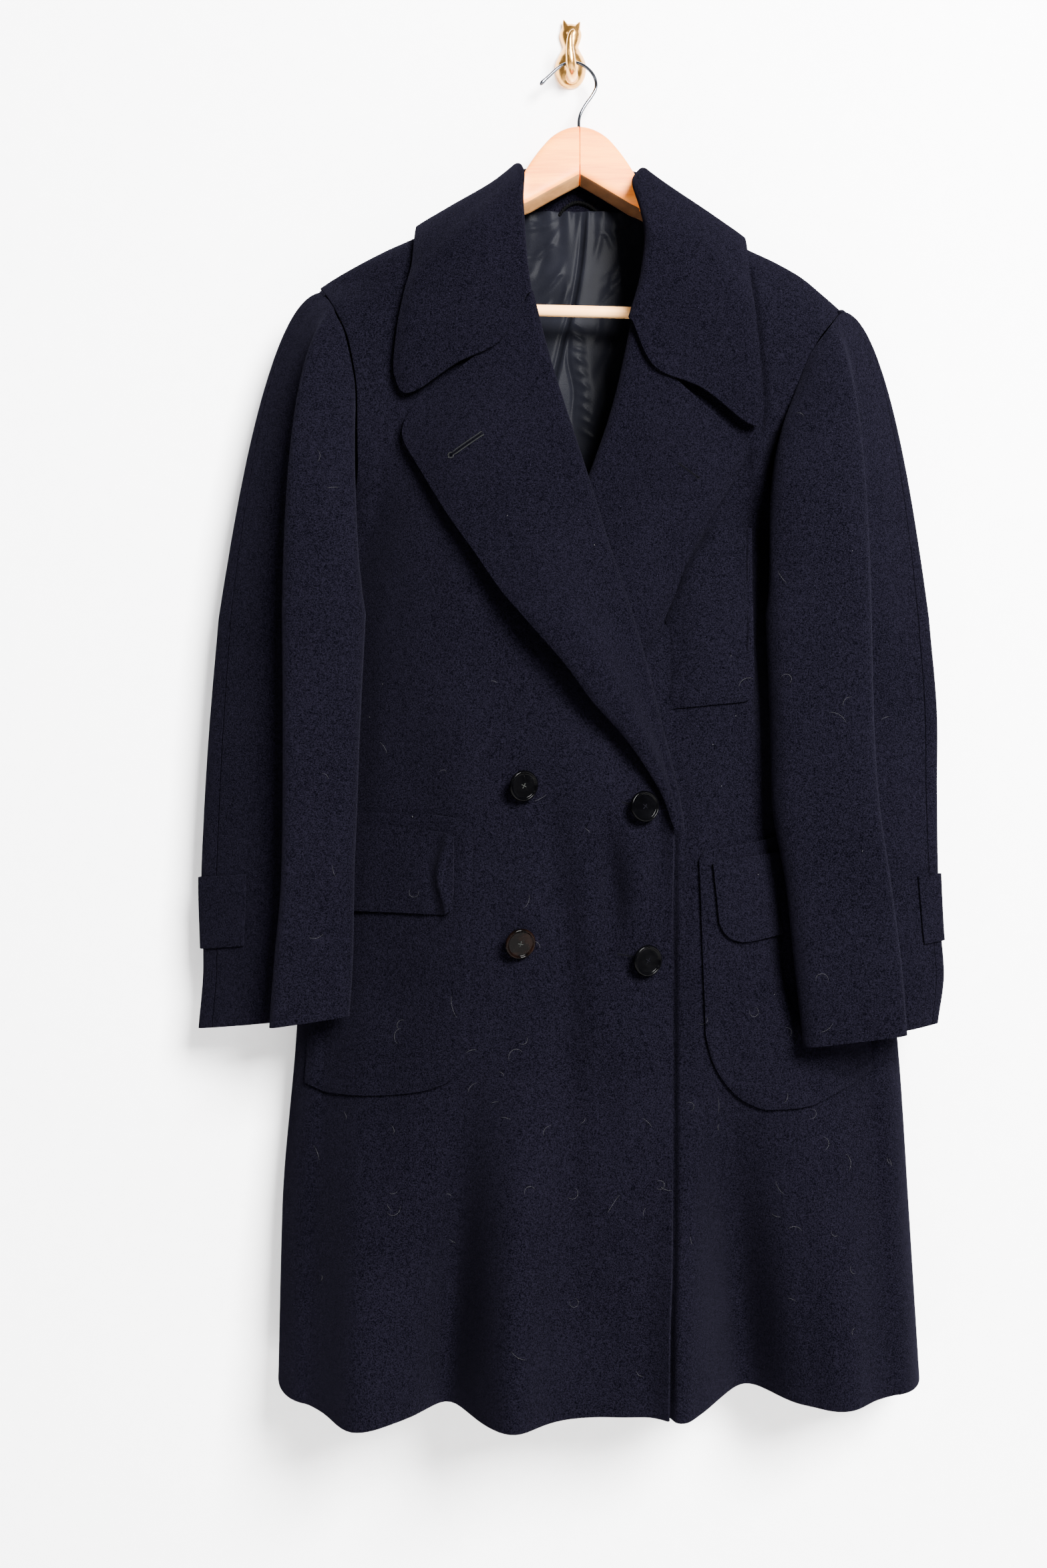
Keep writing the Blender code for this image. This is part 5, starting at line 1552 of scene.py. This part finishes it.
def drilled(blank, turn):
    """Four holes round the middle."""
    for k in range(4):
        angle = math.radians(turn + 45 + 90 * k)
        x, z = HOLE_AT * math.cos(angle), HOLE_AT * math.sin(angle)
        drill = loft("drill", tube([(x, 4.0, z), (x, -8.0, z)], 1.05, 16))
        cut = blank.modifiers.new("hole", "BOOLEAN")
        cut.solver = "EXACT"
        cut.operation = "DIFFERENCE"
        cut.object = drill
    mesh = applied(blank)
    for drill in [o for o in bpy.data.objects if o.name.startswith("drill")]:
        bpy.data.objects.remove(drill)
    return mesh


def sew_on(i, x, z, turn, out, tip, lean):
    """One finished button on the front."""
    blank = turned(f"button_{i}_horn")
    mesh = drilled(blank, turn)
    for corner in mesh.vertices:
        corner.co = placed([np.array(corner.co) / MM], x, z, out, tip, lean)[0] * MM
    mesh.shade_smooth()
    mesh.set_sharp_from_angle(angle=math.radians(40))
    blank.data = mesh
    return dress(blank, HORN_BROWN if i == 3 else HORN, f"button_{i}")


buttons = [sew_on(i + 1, *row) for i, row in enumerate(zip(*BUTTONS.values()))]
print("buttons:", [len(b.data.polygons) for b in buttons])

# %% [markdown]
# ## Cords and stitches
#
# The loop at the back of the neck is a twisted cord, and each buttonhole is edged with a close row of
# stitches over a cord. Both are one rod whose radius rises and falls as it turns.

# %% Twisted rods
def twisted(path, radius, pitch, ribs, depth, around=16):
    """Rings of a rod whose strands turn round it once in each pitch."""
    rings = np.asarray(tube(path, radius, around))
    turn = np.arange(around) * 2 * math.pi / around
    for ring, centre, at in zip(rings, np.asarray(path, float), distances(path)):
        swell = 1 + depth * np.cos(ribs * turn + 2 * math.pi * at / pitch)
        ring[:] = centre + (ring - centre) * swell[:, None]
    return rings


LOOP = [
    (-11, -13.0, -145.5), (-9, -13.4, -142.0), (-4.5, -14.0, -137.5), (1.5, -14.4, -134.4),
    (7, -14.5, -133.8), (13, -14.4, -135.2), (19, -14.0, -138.4), (23.5, -13.4, -142.6),
    (25.5, -13.0, -146.0),
]
loop_path = finer(LOOP, 170)
loop_cord = loft("hang_loop_cord", twisted(loop_path, 1.45, 2.6, 2, 0.2), BRAID, "hang_loop")
print("loop is", round(float(distances(loop_path)[-1]), 1), "mm long")

# %% [markdown]
# ## Buttonholes
#
# A buttonhole is a slit with an eye at one end, edged with thread. Its edge lies on the cloth, so each
# point of its outline is dropped onto the finished piece from in front.

# %% Drop a point onto the cloth
bpy.context.view_layer.update()
graph = bpy.context.evaluated_depsgraph_get()
WOOLLEN = {node: cloth for node, cloth in cloths.items() if node != "lining_back"}
SKINS = {node: BVHTree.FromObject(cloth, graph) for node, cloth in WOOLLEN.items()}


def drop(x, z, skins):
    """Where a line from the front first meets these skins: the point and its normal, in millimetres."""
    found = None
    for skin in skins:
        hit, normal, _, _ = skin.ray_cast(Vector((x * MM, -1.0, z * MM)), Vector((0, 1, 0)))
        if hit is not None and (found is None or hit.y < found[0].y):
            found = (hit, normal)
    if found is None:
        return None
    return np.array(found[0]) / MM, np.array(found[1])


print(len(SKINS), "cloth skins to drop onto")

# %% Buttonholes
def hole_outline(start, end, half, eye):
    """The outline of a slit from its eye to its far end."""
    start, end = np.array(start, float), np.array(end, float)
    ahead = (end - start) / np.linalg.norm(end - start)
    side = np.array([-ahead[1], ahead[0]])
    length = np.linalg.norm(end - start)
    found = []
    for angle in np.linspace(-150, 150, 13):
        a = math.radians(angle)
        found.append(start - eye * (math.cos(a) * ahead + math.sin(a) * side))
    for t in np.linspace(0.16, 1.0, 9):
        found.append(start + ahead * length * t - half * side)
    for t in np.linspace(1.0, 0.16, 9):
        found.append(start + ahead * length * t + half * side)
    return found


def on_cloth(outline, skins, rise):
    """The outline dropped onto the cloth, held that far out from it."""
    path = []
    for x, z in outline:
        point, normal = drop(x, z, skins)
        path.append(point + rise * (normal if normal[1] < 0 else -normal))
    return path


def buttonhole(name, skin, start, end, half=0.5, eye=1.2, wide=0.35, gimp=False):
    """A dark stitched edge round the slit, the slit's shadow and, if asked for, a pale gimp thread."""
    skins = [SKINS[skin]]
    outline = hole_outline(start, end, half, eye)
    path = finer(on_cloth(outline + outline[:1], skins, 0.1), 240)
    parts = [loft(f"{name}_stitches", twisted(path, wide, 0.8, 1, 0.3, 8), THREAD_DARK, sharp=80)]
    slit = [tuple(np.array(start) + (np.array(end) - start) * t) for t in (0.0, 0.3, 0.6, 0.97)]
    dark = finer(on_cloth(slit, skins, -0.05), 30)
    radius = np.where(np.arange(len(dark)) < 3, eye * 0.62, 0.5)
    # The slit is a near-black rod of painted shade.
    parts.append(loft(f"{name}_slit", tube(dark, radius, 10), SHADOW_CLOTH, sharp=80))
    if gimp:
        outer = hole_outline(start, end, half + 0.62, eye + 0.7)
        path = finer(on_cloth(outer + outer[:1], skins, 0.12), 240)
        parts.append(loft(f"{name}_gimp", twisted(path, 0.24, 1.3, 1, 0.25, 6), THREAD, sharp=80))
    return parts


# SHADOW_CLOTH is painted shade: wool darker than the coat's, laid in each buttonhole slit.
SHADOW_CLOTH = wool("navy wool inside the slits", (0.0002, 0.0002, 0.0003), (0.0006, 0.0006, 0.0009))
holes = buttonhole("buttonhole_lapel", "lapel_over", (-106.5, -385), (-79.5, -366.5), 1.0, 1.75, 0.5, True)
holes += buttonhole("buttonhole_under", "lapel_under", (107, -403), (90, -391))
holes += buttonhole("buttonhole_upper", "front_over", (64, -688.5), (40.5, -683.5))
holes += buttonhole("buttonhole_lower", "front_over", (66, -817), (36.5, -812.5))
print(len(holes), "pieces round four buttonholes")

# %% Stitches of the buttons
STITCH = [  # one stitch through two holes: distance from the middle, depth, and its share of the rise
    (1.2, 6.0, 0), (HOLE_AT, 0.4, 0), (2.35, -2.3, 0), (1.8, -2.95, 1), (0, -3.1, 1),
    (-1.8, -2.95, 1), (-2.35, -2.3, 0), (-HOLE_AT, 0.4, 0), (-1.2, 6.0, 0),
]


def button_stitches(i, x, z, turn, out, tip, lean):
    """Two stitches cross between the four holes and go down through them, the second over the first."""
    for k in (0, 1):
        angle = math.radians(turn + 45 + 90 * k)
        ahead = np.array([math.cos(angle), 0.0, math.sin(angle)])
        path = [at * ahead + (0, deep - 0.35 * k * over, 0) for at, deep, over in STITCH]
        path = placed(finer(path, 60), x, z, out, tip, lean)
        strand = THREAD if i % 2 else THREAD_DARK
        loft(f"button_{i}_thread_{k + 1}", twisted(path, 0.42, 1.6, 2, 0.2, 8), strand, sharp=80)


for i, row in enumerate(zip(*BUTTONS.values())):
    button_stitches(i + 1, *row)
print("buttons sewn on")

# %% [markdown]
# ## Lint
#
# Dark wool shows every pale hair. Each is a thin curved rod laid on the cloth, most of them on the
# skirt, where the coat brushes against things. A few are only specks.

# %% Hairs and specks
HAIRS = 120  # places tried; those that fall beside the cloth or across an edge are left out


def lint():
    """Curved hairs and a few specks, dropped onto the wool in one piece."""
    chance = np.random.default_rng(11)
    skins = list(SKINS.values())
    shape = bmesh.new()
    made = 0
    for k in range(HAIRS):
        x = chance.uniform(-235, 285)
        z = chance.uniform(-1170, -860) if k % 3 else chance.uniform(-860, -300)
        length = chance.uniform(0.9, 1.4) if k % 9 == 0 else chance.uniform(6, 20)
        heading, bend = chance.uniform(0, 2 * math.pi), chance.uniform(-2.4, 2.4)
        path = []
        for t in np.linspace(0, 1, 8):
            hit = drop(x, z, skins)
            if hit is None or hit[1][1] > -0.4:
                break
            path.append(hit[0] + 0.25 * hit[1])
            turn = heading + bend * t * length / 8.0
            x, z = x + length / 7 * math.cos(turn), z + length / 7 * math.sin(turn)
        if len(path) < 8 or np.ptp(np.array(path)[:, 1]) > 4:
            continue
        radius = 0.2 if length < 2 else 0.07
        radii = radius * np.sin(np.linspace(0.35, 2.8, 8))
        hair = loft("hair", tube(path, radii, 4), sharp=180)
        shape.from_mesh(hair.data)
        bpy.data.objects.remove(hair)
        made += 1
    obj = put_shape("lint", shape)
    obj.data.shade_smooth()
    dress(obj, LINT)
    print(made, "hairs and specks,", len(obj.data.polygons), "faces")


LINT = thread("pale lint", (0.05, 0.05, 0.052))
lint()

# %% [markdown]
# ## The room
#
# A pale wall behind and a pale floor below, with a large soft light to the right of the camera and a
# weaker one from the left, as a window and a bright room would give. The wall is seen from its front
# only, so the coat can be looked at from behind as well, and a third light serves that side.

# %% Wall and floor
def plaster(name, color, one_sided):
    """Rolled paint. A one-sided wall is clear from behind."""
    material, nodes, link, shader, where = new_material(name, roughness=0.9, specular_ior_level=0.1)
    roller = noise(nodes, link, where, 60.0, 3.0, 0.6)
    tones = ramp(nodes, link, roller, [(0.3, darker(color, 0.97)), (0.7, color)])
    link(tones, shader.inputs["Base Color"])
    if one_sided:
        clear = nodes.new("ShaderNodeBsdfTransparent")
        side = nodes.new("ShaderNodeNewGeometry")
        mix = nodes.new("ShaderNodeMixShader")
        link(side.outputs["Backfacing"], mix.inputs["Fac"])
        link(shader.outputs["BSDF"], mix.inputs[1])
        link(clear.outputs["BSDF"], mix.inputs[2])
        link(mix.outputs["Shader"], nodes["Material Output"].inputs["Surface"])
    return material


def backdrop(name, low, high, material):
    """A flat sheet between two corners, upright or level."""
    shape = bmesh.new()
    bmesh.ops.create_grid(shape, x_segments=4, y_segments=4, size=0.5)
    low, high = np.array(low, float), np.array(high, float)
    for corner in shape.verts:
        across, along = corner.co.x + 0.5, corner.co.y + 0.5
        corner.co = low + (high - low) * (across, along, along)
    obj = put_shape(name, shape)
    obj.data.materials.append(material)
    return obj


FLOOR_Z = -1.7
BEHIND = 0.0012  # the wall stands this far behind the hook's plate
paint = plaster("pale wall", (0.93, 0.93, 0.935), True)
wall = backdrop("wall", (-4, BEHIND, FLOOR_Z), (4, BEHIND, 2.2), paint)
wall.visible_shadow = False
screed = plaster("pale floor", (0.6, 0.59, 0.58), False)
backdrop("floor", (-4, -5, FLOOR_Z), (4, 3, FLOOR_Z), screed)
print("wall faces", tuple(round(n, 2) for n in wall.data.polygons[0].normal))

# %% Lights
def softbox(name, place, aim, size, power, tint=(1.0, 1.0, 1.0)):
    """A square lamp at a place, turned to what it lights; power in watts."""
    data = bpy.data.lights.new(name, "AREA")
    data.shape = "RECTANGLE"
    data.size = data.size_y = size
    data.energy = power
    data.color = tint
    obj = put(name, data)
    obj.location = place
    obj.rotation_euler = (Vector(aim) - Vector(place)).to_track_quat("-Z", "Y").to_euler()


softbox("window", (1.06, -2.45, 0.6), (0, 0, -0.62), 1.1, 900.0)
softbox("room", (-1.5, -2.3, 0.5), (0, 0, -0.7), 0.45, 12.0, (0.97, 0.97, 1.0))
softbox("behind", (0.6, 2.6, -0.5), (0, 0, -0.6), 2.0, 700.0)
sky = bpy.data.worlds.new("room light")
sky.use_nodes = True
glow = sky.node_tree.nodes["Background"].inputs
glow["Color"].default_value = (0.93, 0.94, 1.0, 1.0)
glow["Strength"].default_value = 0.33
bpy.context.scene.world = sky
print("three softboxes and a pale sky")
